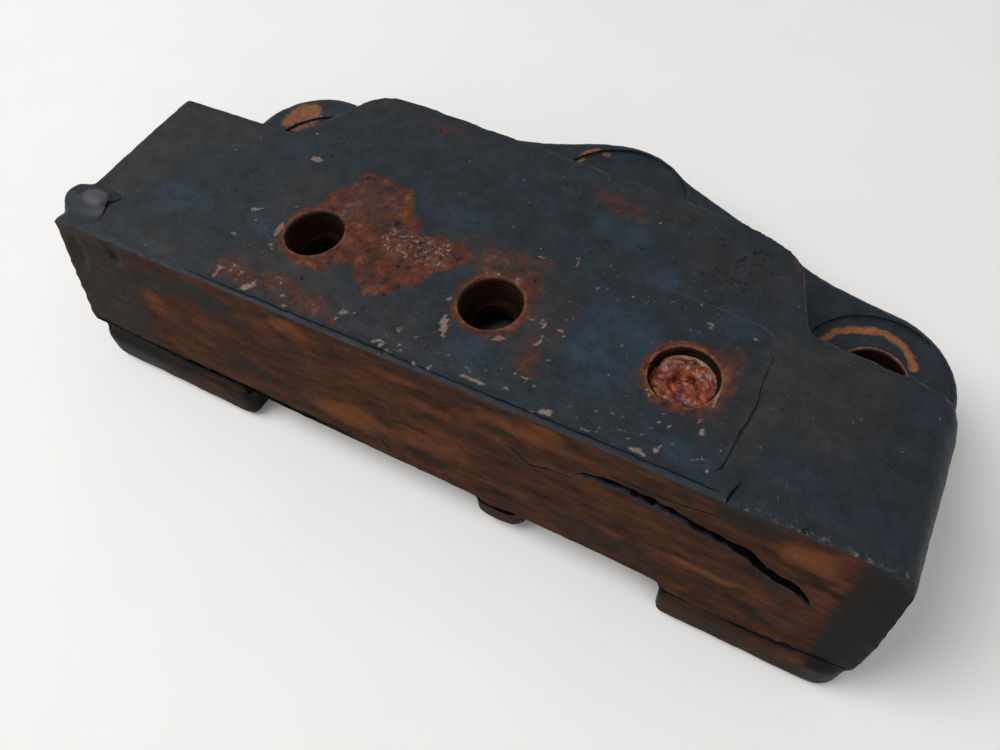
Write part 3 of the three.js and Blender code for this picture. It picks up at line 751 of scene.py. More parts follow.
def seams(crack_depth):
    """Wedges for the crack, the parting seams and the lines round the port panel, in two groups
    that don't touch each other. Rows are x, drop or y, and width."""
    crack = groove((
        (267, 18.5, 1.2), (270, 17.2, 2.2), (277, 15.8, 2.8), (284, 15.0, 3.4), (292, 15.2, 3.6),
        (303, 16.0, 3.8), (312, 18.4, 4.0), (322, 19.6, 4.0), (333, 21.0, 4.4), (338, 24.6, 4.8),
        (344, 27.2, 5.0), (350, 28.0, 4.6), (355, 31.0, 3.2), (358, 33.4, 1.4),
    ), crack_depth, 31)
    hair = groove((
        (236, 19.0, 0.6), (241, 19.6, 1.2), (246, 22.8, 1.2), (250, 24.2, 1.1), (256, 22.6, 0.9),
        (262, 21.6, 0.8), (268.5, 21.2, 0.6),
    ), 2.4, 33)
    branch = groove((
        (278, 11.4, 0.5), (286, 11.2, 0.8), (298, 11.4, 0.7), (306, 11.0, 0.8), (313, 9.4, 0.7),
        (322, 9.0, 0.5),
    ), 1.6, 35)
    tears = (
        (((179.5, 47.4, 0.5), (179.2, 50.5, 1.0), (181, 52.0, 1.4), (184.5, 53.0, 0.8)), 1.6),
        (((206, 47.4, 1.4), (208, 49.0, 1.4), (212, 50.0, 0.9)), 1.6),
        (((222, 47.6, 0.5), (228, 47.2, 0.9), (233, 47.8, 1.0), (236.4, 49.8, 1.2),
          (236.6, 52, 0.7)), 1.6),
        (((201, 51.4, 1.2), (203, 52.0, 1.6), (205, 51.8, 0.8)), 1.4),
    )
    low = [
        groove(path, deep, 37 + 2 * order, step=FINE_STEP)
        for order, (path, deep) in enumerate(tears)
    ]
    left = groove((
        (-9, 57.0, 1.6), (12, 57.4, 2.0), (36, 57.4, 2.0), (46, 57.6, 3.2), (60, 58.4, 4.0),
        (74, 58.2, 4.0), (92, 57.6, 4.2), (120, 57.6, 3.6), (140, 57.6, 3.0), (152, 57.0, 1.4),
    ), 3.4, 45, rough=0.4)
    right = groove((
        (300, 59.6, 0.8), (312, 60.4, 1.2), (328, 61.0, 1.4), (344, 60.2, 1.2), (362, 58.4, 1.0),
        (382, 57.8, 1.0),
    ), 2.2, 47)
    back = groove((
        (226, 75.4, 0.5), (240, 78.4, 0.7), (262, 78.0, 1.0), (282, 77.2, 1.4), (300, 75.8, 1.3),
        (309, 74.4, 1.2), (314, 71.5, 1.0), (315.6, 66, 0.9), (315.8, 57, 1.1), (316, 50, 1.8),
        (317, 42, 1.5), (316.6, 34, 1.3), (315.4, 27, 1.7), (315, 18, 1.2), (314.2, 12, 0.9),
        (311.5, 8.6, 0.7),
    ), 0.9, 49, front=False)
    bead = groove((
        (78, 3.0, 0.6), (110, 3.1, 1.0), (200, 3.3, 1.0), (300, 3.4, 0.9), (317, 3.2, 0.7),
    ), 0.8, 51, front=False)
    notch = groove((
        (319.4, -3.4, 0.9), (319.8, 2.0, 1.3), (320.6, 6.0, 0.9), (322, 10.0, 0.5),
    ), 1.0, 53, front=False, step=FINE_STEP)
    crease = groove((
        (10, 27.8, 0.8), (16, 27.2, 1.4), (20.2, 24.0, 1.6), (17.6, 19.0, 1.2), (20, 11, 0.8),
        (19, 6.4, 0.6),
    ), 0.9, 55, front=False)
    scar = groove((
        (108.5, 97.2, 0.8), (112, 101.4, 1.2), (113.4, 103, 0.5),
    ), 0.7, 57, front=False, step=FINE_STEP)
    cut = groove((
        (106.5, 95.6, 0.6), (110.5, 95.2, 1.0), (115, 95.6, 0.6),
    ), 0.6, 59, front=False, step=FINE_STEP)
    return [[crack, hair, branch, *low, left, right, back, bead, crease, scar, cut], [notch]]


def pits():
    """Small blow holes and dings of the top face: flattened balls at seeded places, denser near
    its back right corner."""
    rng = np.random.default_rng(8)
    # Count, then the least and greatest x, y and radius of each bay
    bays = (
        (44, (278, 306), (86, 112), (0.4, 0.9)), (46, (8, 372), (8, 70), (0.35, 0.8)),
        (40, (84, 270), (80, 120), (0.4, 0.9)), (34, (322, 374), (-0.5, 3.2), (0.6, 1.4)),
        (26, (22, 84), (-0.8, 2.4), (0.6, 1.3)),
    )
    tries = [[rng.uniform(*span) for span in spans] for count, *spans in bays for _ in range(count)]
    kept = []
    for x, y, r in tries:
        if all(math.hypot(x - px, y - py) > r + 17 for px, py in PORTS):
            if all(math.hypot(x - kx, y - ky) > r + kr + 0.3 for kx, ky, kr in kept):
                kept.append((x, y, r))
    latitude = np.linspace(-np.pi / 2, np.pi / 2, 7)
    shapes = []
    for x, y, r in kept:
        profile = np.stack([r * np.cos(latitude), 0.8 * r * np.sin(latitude)], -1)
        profile[[0, -1], 0] = 0
        shapes.append(turned(profile, 9, (x, y, TOP + 0.1 * r)))
    return shapes


def cast_housing(settings):
    """The casting: the CAD node's merged copy with its holes closed, rebuilt as an even skin,
    softened, given its cast and rusted relief along its normals, and then machined and cracked."""
    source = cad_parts["caliper_housing"]
    mesh = source.data.copy()
    made = bpy.data.objects.new("housing_casting", mesh)
    bpy.context.scene.collection.objects.link(made)
    weld = made.modifiers.new("Weld", "WELD")
    weld.merge_threshold = 1e-6
    settle(made)
    for shapes in filled_holes():
        worked(made, "UNION", shapes)
    skinned = made.modifiers.new("Skin", "REMESH")
    skinned.mode = "VOXEL"
    skinned.voxel_size = settings.cell
    soften = made.modifiers.new("Soften", "SMOOTH")
    soften.factor = 0.5
    soften.iterations = 2
    settle(made)

    mesh = made.data
    points, normals = points_of(mesh), normals_of(mesh)
    mask = skin(points, normals)
    grain, sag = settings.grain / MM, settings.sag / MM
    lift = grain * (noise(points, 4.2, 1) + 0.7 * noise(points, 2.4, 2))
    lift += 0.5 * sag * noise(points, 34, 3)
    waves = 0.6 * noise(points, (70, 20, 22), 4) + 0.3 * noise(points, (24, 10, 9), 5)
    lift += mask["front"] * sag * waves
    lift += mask["rust"] * (0.16 + 0.3 * noise(points, 3.2, 6))
    lift += mask["crust"] * 0.35 * noise(points, 2.6, 7)
    lift += 0.22 * mask["chip"] * noise(points, 2.5, 9) - 0.12 * mask["chip"]
    x, y, z = points.T
    drop = TOP - z
    dents = 0.9 * spots(x, drop, DENTS) + spots(x, drop, HOLLOWS)
    lift -= dents * mask["front"]
    lift -= 0.3 * inside(points[:, :2], PANEL, 1.6) * mask["top"]
    ends = np.maximum(ramp(x, 320, 324), 1 - ramp(x, 74, 84))
    rough_edge = mask["top"] * (1 - ramp(y, 3, 11)) * ends
    lift += rough_edge * (0.6 * noise(points, 3.2, 10) - 0.35)
    boss = (1 - ramp(x, 16, 22)) * (1 - ramp(np.abs(y - 18), 9, 12)) * ramp(z, 66, 72)
    lift += boss * (0.45 * noise(points, 5, 13) + 0.2 * noise(points, 2.6, 14) - 0.35)
    calm = ramp(z, UNDERSIDE + 0.4, UNDERSIDE + 2) + (1 - ramp(z, 12, UNDERSIDE - 0.4))
    lift = np.clip(lift, -2.2, 0.42) * np.clip(calm, 0.15, 1)
    moved = points + lift[:, None] * normals
    moved[:, 2] = np.where(z < 1.0, np.maximum(z, 0.0), moved[:, 2])
    set_points(mesh, moved)

    worked(made, "DIFFERENCE", [spotface()], plateau())
    for shapes in machined_holes(settings) + seams(settings.crack / MM) + [pits()]:
        worked(made, "DIFFERENCE", shapes)
    return made


def plateau():
    """The body behind the spotfaces, as two levels of the deck's plan outline."""
    low, high = EAR_TOP - 6, EAR_TOP + 5
    levels = [[(x, y, z) for x, y in DECK_OUTLINE] for z in (low, high)]
    return grid(np.array(levels, float), False, True, (190, 60, low), (190, 60, high))


def spotface():
    """The three spotfaces as one flat tool: discs over the ears, kept clear of the plateau."""
    discs = []
    for _, _, _, hx, hy, spot in EARS:
        rings = [(r, SPOTFACE_FLOOR) for r in np.linspace(0, spot, 20)]
        discs.append(turned((*rings, (spot, EAR_TOP + 0.9), (0, EAR_TOP + 0.9)), 96, (hx, hy, 0)))
    vertices, quads, triangles = together(discs)
    floor = vertices[:, 2] < SPOTFACE_FLOOR + 0.1
    vertices[:, 2] += floor * 0.06 * noise(vertices, 3.0, 61)
    return vertices, quads, triangles


# ---------- materials ----------


def add(tree, kind, values=None, stops=None, **settings):
    """Adds a shader node: settings are its properties, values its sockets, each a number, a
    colour or another node's output, and stops the places and colours of a colour ramp."""
    node = tree.nodes.new("ShaderNode" + kind)
    for key, value in settings.items():
        setattr(node, key, value)
    for socket, value in (values or {}).items():
        if isinstance(value, bpy.types.NodeSocket):
            tree.links.new(value, node.inputs[socket])
        elif isinstance(value, tuple) and len(value) == 3 and node.inputs[socket].type == "RGBA":
            node.inputs[socket].default_value = (*value, 1)
        else:
            node.inputs[socket].default_value = value
    if stops:
        elements = node.color_ramp.elements
        while len(elements) < len(stops):
            elements.new(0.5)
        for element, (place, colour) in zip(elements, stops):
            element.position = place
            element.color = (*colour, 1)
    return node.outputs


def new_material(name):
    """An empty node material, its tree and its Object coordinates."""
    material = bpy.data.materials.new(name)
    material.use_nodes = True
    tree = material.node_tree
    tree.nodes.clear()
    return material, tree, add(tree, "TexCoord")["Object"]


def per(millimetres):
    """The scale of a noise whose features are that many millimetres wide."""
    return 1 / (millimetres * MM)


def closed_tree(tree, colour, roughness, bump, **fixed):
    """Ends a material: its shader, with fixed numbers on their own sockets, and its output."""
    values = {"Base Color": colour, "Roughness": roughness, "Normal": bump}
    values.update({key.replace("_", " "): value for key, value in fixed.items()})
    shader = add(tree, "BsdfPrincipled", values)["BSDF"]
    add(tree, "OutputMaterial", {"Surface": shader})


def cast_iron_material(settings):
    """Sand-cast iron under aged brushed paint, with rust, road soil and chips. The grain breaks
    the light up, paint is satin, and rust and soil are matt."""
    material, tree, place = new_material("sand_cast_iron_aged_paint")

    # Noises, by the width of their features in millimetres, their detail and their roughness
    streaked = add(tree, "Mapping", {"Vector": place, "Scale": (0.3, 1.0, 1.0)})[0]
    noises = {}
    for name, size, detail, roughness in (
        ("wide", 40, 3, 0.6), ("middle", 11, 5, 0.6), ("small", 3.4, 6, 0.65),
        ("grit", 1.0, 4, 0.7), ("streak", 6, 8, 0.72), ("sooty", 9, 9, 0.78),
        ("fleck", 1.7, 2, 0.5), ("ruddy", 12, 8, 0.75), ("rust edge", 5, 7, 0.75),
        ("orange edge", 2.6, 6, 0.7), ("crust edge", 1.9, 5, 0.75), ("chip edge", 1.7, 5, 0.7),
    ):
        noises[name] = add(tree, "TexNoise", {
            "Vector": streaked if name == "streak" else place, "Scale": per(size),
            "Detail": detail, "Roughness": roughness,
        })["Fac"]
    middle, small, grit = noises["middle"], noises["small"], noises["grit"]

    # Masks with an uneven edge: the stored number plus some of a noise, steepened
    masks = {}
    for name, pattern, spread, low, high in (
        ("blue", "middle", 0.9, 0.1, 1.0), ("dust", "wide", 1.4, 0.0, 1.1),
        ("worn_and_sheen", "middle", 0.6, 0.25, 0.9), ("bright", "streak", 1.5, 0.25, 1.15),
        ("soil", "streak", 0.7, 0.1, 0.8), ("rust", "rust edge", 1.5, 0.2, 0.85),
        ("orange", "orange edge", 1.3, 0.3, 0.85), ("crust", "crust edge", 2.1, 0.95, 1.3),
        ("chip", "chip edge", 1.7, 0.58, 1.05), ("dark", "small", 0.7, 0.3, 0.7),
    ):
        stored = add(tree, "Attribute", attribute_name=name)["Fac"]
        shifted = add(tree, "Math", {0: noises[pattern], 1: -0.5}, operation="ADD")[0]
        mixed = add(tree, "Math", {0: shifted, 1: spread, 2: stored}, operation="MULTIPLY_ADD")[0]
        values = {"Value": mixed, "From Min": low, "From Max": high}
        masks[name] = add(tree, "MapRange", values, interpolation_type="SMOOTHSTEP")[0]
    front, side, nick, bore, gap = (
        add(tree, "Attribute", attribute_name=name)["Fac"]
        for name in ("front", "side", "nick", "bore", "gap")
    )

    # The two tones of each stain, of the painted shade on the walls and of the oily, shaded holes,
    # mixed by a noise
    tones = {}
    for name, share, below, above in (
        ("bright", small, "#4A2A1C", "#7A4A2C"), ("shade_grey", middle, "#0E0E10", "#18181A"),
        ("mud", middle, "#151511", "#241E19"), ("orange", small, "#5E3822", "#A0663C"),
        ("crust", grit, "#7E6459", "#AA958A"), ("bore", middle, "#0D0A09", "#2E1C12"),
    ):
        values = {0: share, 6: linear(below), 7: linear(above)}
        tones[name] = add(tree, "Mix", values, data_type="RGBA")[2]

    # Paint is darker and lighter by patches, with a few grey flecks
    patchy = add(tree, "MapRange", {
        "Value": noises["sooty"], "From Min": 0.36, "From Max": 0.64, "To Min": 0.55,
        "To Max": 1.34,
    })[0]
    values = {"Value": noises["fleck"], "From Min": 0.735, "From Max": 0.77}
    fleck = add(tree, "MapRange", values)[0]

    # Painted shade on the walls and below the parting line: near black, brownish on the front
    wall_shade = add(tree, "Math", {0: side, 1: 0.9}, operation="MULTIPLY")[0]
    values = {0: front, 6: tones["shade_grey"], 7: tones["mud"]}
    wall_shade_colour = add(tree, "Mix", values, data_type="RGBA")[2]

    # Road soil on the front, orange-brown with darker and brighter streaks
    soil_colour = add(tree, "ValToRGB", {"Fac": noises["streak"]}, stops=(
        (0.32, linear("#231913")), (0.45, linear("#36241A")), (0.55, tuple(settings.soil)),
        (0.70, linear("#553523")),
    ))["Color"]
    values = {0: masks["bright"], 6: soil_colour, 7: tones["bright"]}
    soil_colour = add(tree, "Mix", values, data_type="RGBA")[2]

    # Rust on the top face, from dark maroon to orange-brown
    ruddy = add(tree, "Math", {0: small, 1: 0.4, 2: 0.0}, operation="MULTIPLY_ADD")[0]
    values = {0: noises["ruddy"], 1: 0.6, 2: ruddy}
    ruddy = add(tree, "Math", values, operation="MULTIPLY_ADD")[0]
    rust_colour = add(tree, "ValToRGB", {"Fac": ruddy}, stops=(
        (0.38, linear("#241A18")), (0.44, linear("#3E2C28")), (0.49, tuple(settings.rust)),
        (0.54, linear("#5E3627")), (0.60, linear("#6E4A38")), (0.66, linear("#8A6650")),
    ))["Color"]

    # Chips show tan primer, greyer by patches and grey iron on the nicked corner
    warm = add(tree, "MapRange", {"Value": middle, "From Min": 0.42, "From Max": 0.58})[0]
    chip_colour = linear("#8F8886")
    for share, tone in (
        (warm, tuple(settings.chip)), (grit, linear("#6A5346")), (nick, linear("#6C6E70")),
    ):
        values = {0: share, 6: chip_colour, 7: tone}
        chip_colour = add(tree, "Mix", values, data_type="RGBA")[2]

    # Each coat lies over the ones before it. Recesses and the crack are painted nearly black as
    # shade, and bores and threads are brown, oily iron, darkened as painted shade
    gap = add(tree, "MapRange", {"Value": gap, "From Min": 0.04, "From Max": 0.3})[0]
    colour = tuple(settings.paint_dark)
    for share, coat, kind in (
        (masks["blue"], tuple(settings.paint_blue), "MIX"),
        (masks["dust"], tuple(settings.paint_dust), "MIX"),
        (1.0, patchy, "MULTIPLY"),
        (fleck, linear("#6E6A66"), "MIX"),
        # Lighter grey: worn paint, with a painted highlight near the left end
        (masks["worn_and_sheen"], linear("#48474D"), "MIX"),
        (wall_shade, wall_shade_colour, "MIX"),
        (masks["soil"], soil_colour, "MIX"),
        (masks["rust"], rust_colour, "MIX"),
        (masks["orange"], tones["orange"], "MIX"),
        (masks["crust"], tones["crust"], "MIX"),
        (masks["chip"], chip_colour, "MIX"),
        (masks["dark"], linear("#14110E"), "MIX"),
        (bore, tones["bore"], "MIX"),
        (gap, linear("#0B0908"), "MIX"),
    ):
        values = {0: share, 6: colour, 7: coat}
        colour = add(tree, "Mix", values, data_type="RGBA", blend_type=kind)[2]

    matt = add(tree, "Math", {0: masks["soil"], 1: masks["rust"]}, operation="MAXIMUM")[0]
    roughness = add(tree, "MapRange", {"Value": small, "To Min": 0.36, "To Max": 0.66})[0]
    roughness = add(tree, "Mix", {0: matt, 2: roughness, 3: 0.85})[0]
    below = {}
    for pattern, height, strength, sunk in (
        (grit, 0.16, 0.9, False), (small, 0.5, 0.9, False), (masks["chip"], 0.12, 0.8, True),
        (masks["crust"], 0.35, 0.9, False),
    ):
        values = {"Height": pattern, "Distance": height * MM, "Strength": strength, **below}
        below = {"Normal": add(tree, "Bump", values, invert=sunk)[0]}
    dull = add(tree, "Math", {0: matt, 1: side}, operation="MAXIMUM")[0]
    deep = add(tree, "Math", {0: gap, 1: bore}, operation="MAXIMUM")[0]
    shine = add(tree, "MapRange", {"Value": dull, "To Min": 0.28, "To Max": 0.07})[0]
    shine = add(tree, "Mix", {0: deep, 2: shine, 3: 0.0})[0]
    closed_tree(tree, colour, roughness, below["Normal"], Specular_IOR_Level=shine)
    return material


def plain_finish(name, colours, grain, roughness, bump, metallic=0.0, stretch=(1, 1, 1), **fixed):
    """A finish of one base with its stains: noise of `grain` millimetres, stretched along the
    way the surface was worked, drives a colour ramp, the roughness and a fine relief."""
    material, tree, place = new_material(name)
    turned_place = add(tree, "Mapping", {"Vector": place, "Scale": stretch})[0]
    values = {"Vector": turned_place, "Scale": per(grain), "Detail": 5.0}
    fine = add(tree, "TexNoise", values)["Fac"]
    broad = add(tree, "TexNoise", {"Vector": place, "Scale": per(grain * 9), "Detail": 3.0})["Fac"]
    both = add(tree, "Math", {0: fine, 1: broad, 2: 0.0}, operation="ADD")[0]
    half = add(tree, "Math", {0: both, 1: 0.5}, operation="MULTIPLY")[0]
    places = np.linspace(0.36, 0.66, len(colours))
    colour = add(tree, "ValToRGB", {"Fac": half}, stops=list(zip(places, colours)))["Color"]
    low, high = roughness
    values = {"Value": half, "From Min": 0.3, "From Max": 0.7, "To Min": low, "To Max": high}
    rough = add(tree, "MapRange", values)[0]
    raised = add(tree, "Bump", {"Height": fine, "Distance": bump * MM, "Strength": 0.8})[0]
    closed_tree(tree, colour, rough, raised, Metallic=metallic, **fixed)
    return material


def steel_finish(settings):
    # Plated and ground steel: fine rings from the wheel, light stains, a clear highlight
    tones = (linear("#6E6A64"), tuple(settings.steel), linear("#B4B2AE"))
    return plain_finish("ground_plated_steel", tones, 0.8, (0.2, 0.42), 0.02, 1.0, (1, 1, 6))


# ---------- operators ----------


class CALIPER_OT_housing(bpy.types.Operator):
    """Build the cracked and rusted casting with its machined holes"""

    bl_idname = "caliper.housing"
    bl_label = "Cast housing"

    def execute(self, context):
        settings = context.scene.caliper_casting
        made = cast_housing(settings)
        mesh = made.data
        mesh.shade_smooth()
        mesh.set_sharp_from_angle(angle=math.radians(42))
        points, normals = points_of(mesh), normals_of(mesh)
        mask = skin(points, normals)
        x, y, z = points.T
        # Inside the ports and bolt holes, and partly over the pocket: oily iron darkened as painted
        # shade
        bore = np.zeros(len(points))
        mouths = [(px, py, PORT_MOUTH + 0.05, TOP - 0.4) for px, py in PORTS]
        around, deep = BOLT_HOLE_RADIUS + 0.9, SPOTFACE_FLOOR - 0.3
        mouths += [(ear[3], ear[4], around, deep) for ear in EARS]
        for px, py, radius, height in mouths:
            bore = np.maximum(bore, (np.hypot(x - px, y - py) < radius) & (z < height))
        x0, x1, y0, y1, roof = POCKET
        across = (x > x0 - 1) & (x < x1 + 1) & (y > y0 - 1) & (y < y1 + 1)
        bore = np.maximum(bore, 0.6 * (across & (z < roof + 30)))
        # Painted shade: inside the crack, deeper than about a millimetre under the front face, the
        # colour goes near black
        depth = (np.stack([x, y, z], -1) - on_front(x, TOP - z)) @ -FRONT_NORMAL
        gap = ramp(depth, 0.9, 2.2)
        sunk = (depth > 0.8) & (depth < 12) & (TOP - z > 7) & (z > PARTING - 4) & (y < 10)
        store(mesh, "bore", bore)
        store(mesh, "gap", gap * sunk * (x > 1.5) * (x < 378))
        for name, values in mask.items():
            store(mesh, name, values)
        hand_over(made, "caliper_housing", "housing", cast_iron_material(settings))
        return {"FINISHED"}


class CALIPER_OT_pistons(bpy.types.Operator):
    """Build the three cup pistons and their insulator discs"""

    bl_idname = "caliper.pistons"
    bl_label = "Pistons and insulators"

    def execute(self, context):
        settings = context.scene.caliper_parts
        steel = steel_finish(settings)
        # Moulded phenolic: dark brown, slightly mottled, with a dull skin
        brown = (linear("#3C2D20"), tuple(settings.phenolic), linear("#6B5540"))
        phenolic = plain_finish("moulded_phenolic", brown, 1.6, (0.5, 0.7), 0.05)
        r = PISTON_RADIUS
        cup = (
            (0, 56), (r - 2, 56), (r, 54), (r, 32.2), (r - 1.6, 32.2), (r - 1.6, 29.8),
            (r, 29.8), (r, 28.3), (20.6, 28.3), (20.6, 47), (0, 47),
        )
        disc = (
            (0, 26.1), (22.5, 26.1), (23.3, 26.9), (23.3, 28.2), (20.1, 28.2), (20.1, 35.2),
            (0, 35.2),
        )
        for side, x in PISTONS:
            body = f"piston_{side}_body"
            cup_piece = piece(f"cup_piston_{side}", turned(eased(cup, 0.5), 96, (x, PISTON_Y, 0)))
            hand_over(cup_piece, f"piston_{side}", body, steel)
            shape = turned(eased(disc, 0.4), 72, (x, PISTON_Y, 0))
            disc_piece = piece(f"insulator_disc_{side}", shape)
            hand_over(disc_piece, f"insulator_{side}", body, phenolic)
        return {"FINISHED"}


class CALIPER_OT_boots(bpy.types.Operator):
    """Build the dust boots, which stretch between piston and housing, and their rings"""

    bl_idname = "caliper.boots"
    bl_label = "Boots and rings"

    def execute(self, context):
        settings = context.scene.caliper_parts
        # Moulded rubber: near black, dusty in its folds
        tones = (tuple(settings.rubber), linear("#242427"), linear("#37342F"))
        rubber = plain_finish("moulded_boot_rubber", tones, 1.2, (0.55, 0.8), 0.04)
        # Zinc-plated spring steel: pale grey with dull yellow stains
        zinc = (linear("#6A665C"), linear("#8C8A84"), linear("#A3A09A"))
        spring = plain_finish("zinc_plated_spring_steel", zinc, 0.9, (0.3, 0.5), 0.02, 1.0)
        wall = settings.boot_wall / MM
        # The boot's mid line: the bead in the piston's groove, one fold, and the lip in its seat
        line = np.array((
            (25.3, 30.6), (26.9, 30.6), (27.5, 31.4), (27.8, 32.6), (28.6, 33.2), (30.9, 33.2),
        ))
        line = eased(np.vstack([line, line[::-1]]), 0.35, 4)[: 4 * len(line)]
        way = np.gradient(line, axis=0)
        side = np.stack([-way[:, 1], way[:, 0]], -1)
        side = side / np.maximum(np.linalg.norm(way, axis=1, keepdims=True), 1e-9)
        section = np.vstack([line + side * wall / 2, (line - side * wall / 2)[::-1]])
        section[:, 0] = np.clip(section[:, 0], 24.9, 31.1)
        section[:, 1] = np.clip(section[:, 1], 30.15, 33.65)
        ring = ((29.2, 28.4), (31.2, 28.4), (31.2, 32.4), (30.0, 32.4), (30.0, 29.6), (29.2, 29.6))
        for name, x in PISTONS:
            boot = piece(f"dust_boot_fold_{name}", turned(section, 96, (x, PISTON_Y, 0)), 60)
            boot.data.materials.append(rubber)
            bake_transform(boot)
            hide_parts(f"dust_boot_{name}")
            shape = turned(eased(ring, 0.25), 96, (x, PISTON_Y, 0))
            ring_piece = piece(f"retaining_ring_{name}", shape)
            hand_over(ring_piece, f"boot_ring_{name}", "housing", spring)
        return {"FINISHED"}


def socket_plug(radius, low, high, flats, socket, sides=96):
    """A socket-head screw plug as rings about its axis: the socket's wall is a hexagon, whose
    radius is half the flats over cos(a) inside each sixth, and the head is round."""
    angle = np.linspace(0, 2 * np.pi, sides, endpoint=False)
    sixth = (angle % (np.pi / 3)) - np.pi / 6
    hexagon = flats / 2 / np.cos(sixth)
    rows = [
        (0, hexagon * 0.5, high - socket - 0.5), (0, hexagon, high - socket),
        (0, hexagon, high - 0.5), (0, hexagon + 0.4, high), (radius - 0.9, 0, high),
        (radius, 0, high - 0.9), (radius, 0, low + 1), (radius - 1, 0, low),
    ]
    radii = np.stack([plain + shaped * np.ones(sides) for plain, shaped, _ in rows])
    heights = np.array([height for _, _, height in rows])[:, None] * np.ones(sides)
    points = np.stack([radii * np.cos(angle), radii * np.sin(angle), heights], -1)
    return grid(points, False, True, (0, 0, high - socket - 0.9), (0, 0, low))


class CALIPER_OT_plugs(bpy.types.Operator):
    """Build the rusted port plug, the gallery plug and the bleed plug"""

    bl_idname = "caliper.plugs"
    bl_label = "Plugs"

    def execute(self, context):
        settings = context.scene.caliper_parts
        x, y = PORTS[2]
        radius, low, high = 12.15, 67.8, 75.4
        # Rings from the middle to the rim, then down the side: a filled socket under a crust
        share = np.linspace(0.04, 1, 34)[:, None]
        angle = np.linspace(0, 2 * np.pi, 108, endpoint=False)[None, :]
        r = share * radius * np.ones_like(angle)
        px, py = r * np.cos(angle), r * np.sin(angle)
        flat = np.stack([px, py, 0 * px], -1).reshape(-1, 3)
        bumps = (noise(flat, 2.6, 21) + 0.6 * noise(flat, 1.3, 22)).reshape(r.shape)
        sixth = (angle % (np.pi / 3)) - np.pi / 6
        hexagon = 5.2 / np.cos(sixth)
        hollow = 3.0 * (1 - ramp(r, hexagon - 1.6, hexagon + 0.6))
        heap = 0.9 * ramp(py, 2, 8) * ramp(r, 4, 8)
        crust = settings.crust / MM
        z = high - 0.9 - hollow + heap + crust * 0.6 * bumps * (1 - 0.5 * ramp(share, 0.9, 1))
        z = np.minimum(z, 76.4 - 0.8 * ramp(share, 0.93, 1))
        round_way = np.stack([np.cos(angle[0]), np.sin(angle[0]), 0 * angle[0]], -1)
        side = np.stack([
            k * radius * round_way + np.array([0, 0, height])
            for k, height in ((1, low + 1), (0.93, low))
        ])
        points = np.concatenate([np.stack([px, py, z], -1), side])
        top = (0, 0, float(z[0].mean()))
        vertices, quads, triangles = grid(points, False, True, top, (0, 0, low))
        vertices = vertices + np.array([x, y, 0])
        made = piece("crusted_port_plug", (vertices, quads, triangles), 80)
        local = points_of(made.data) - np.array([x, y, 0])
        out = np.hypot(local[:, 0], local[:, 1])
        # Whitish on the far half and at the rim: partly mineral crust, partly a painted highlight on
        # the wet rust
        pale = 0.72 * ramp(local[:, 1], 3, 9) + 0.3 * ramp(out, 10.4, 11.6)
        store(made.data, "pale", pale)
        rusted = plug_rust_material(settings)
        hand_over(made, "port_plug", "housing", rusted)
        # Blackened steel, worn grey on its edges
        oxide = (linear("#1B1A19"), linear("#2B2A29"), linear("#4A4744"))
        black = plain_finish("black_oxide_steel", oxide, 1.0, (0.35, 0.55), 0.04, 0.7)
        gallery = socket_plug(8.0, RIGHT_END - 10.6, RIGHT_END - 0.6, 6.4, 5.0)
        bleed = socket_plug(5.0, -6.2, 7.4, 4.4, 3.5)
        for name, node, shape, centre in (
            ("gallery_socket_plug", "gallery_plug", gallery, (0, *GALLERY[:2])),
            ("bleed_socket_plug", "bleed_plug", bleed, (0, *BLEED)),
        ):
            vertices, quads, triangles = shape
            if node == "bleed_plug":
                vertices = vertices * np.array([1, 1, -1]) + np.array([0, 0, 1.2])
            vertices = vertices[:, [2, 0, 1]] + np.array(centre, float)
            made = piece(name, outward(vertices, quads, triangles))
            hand_over(made, node, "housing", black)
        return {"FINISHED"}


def plug_rust_material(settings):
    """Thick wet rust on a steel plug: glossy orange to maroon, whitish on its far half and rim,
    partly a mineral crust and partly a painted highlight.
    """
    material, tree, place = new_material("wet_rust_crust")
    small = add(tree, "TexNoise", {"Vector": place, "Scale": per(3.0), "Detail": 6.0})["Fac"]
    fine = add(tree, "TexNoise", {"Vector": place, "Scale": per(0.9), "Detail": 4.0})["Fac"]
    colour = add(tree, "ValToRGB", {"Fac": small}, stops=(
        (0.34, linear("#2A110A")), (0.45, linear("#5A2413")), (0.57, tuple(settings.orange_rust)),
        (0.72, linear("#A05426")),
    ))["Color"]
    stored = add(tree, "Attribute", attribute_name="pale")["Fac"]
    raised = add(tree, "Math", {0: fine, 1: 0.9, 2: stored}, operation="MULTIPLY_ADD")[0]
    values = {"Value": raised, "From Min": 1.12, "From Max": 1.45}
    pale = add(tree, "MapRange", values, interpolation_type="SMOOTHSTEP")[0]
    colour = add(tree, "Mix", {0: pale, 6: colour, 7: linear("#86705F")}, data_type="RGBA")[2]
    values = {"Value": fine, "From Min": 0.35, "From Max": 0.65, "To Min": 0.18, "To Max": 0.5}
    rough = add(tree, "MapRange", values)[0]
    bump = add(tree, "Bump", {"Height": fine, "Distance": 0.3 * MM, "Strength": 0.8})[0]
    values = {"Height": small, "Distance": 0.8 * MM, "Strength": 0.8, "Normal": bump}
    bump = add(tree, "Bump", values)[0]
    closed_tree(tree, colour, rough, bump, Specular_IOR_Level=0.6)
    return material


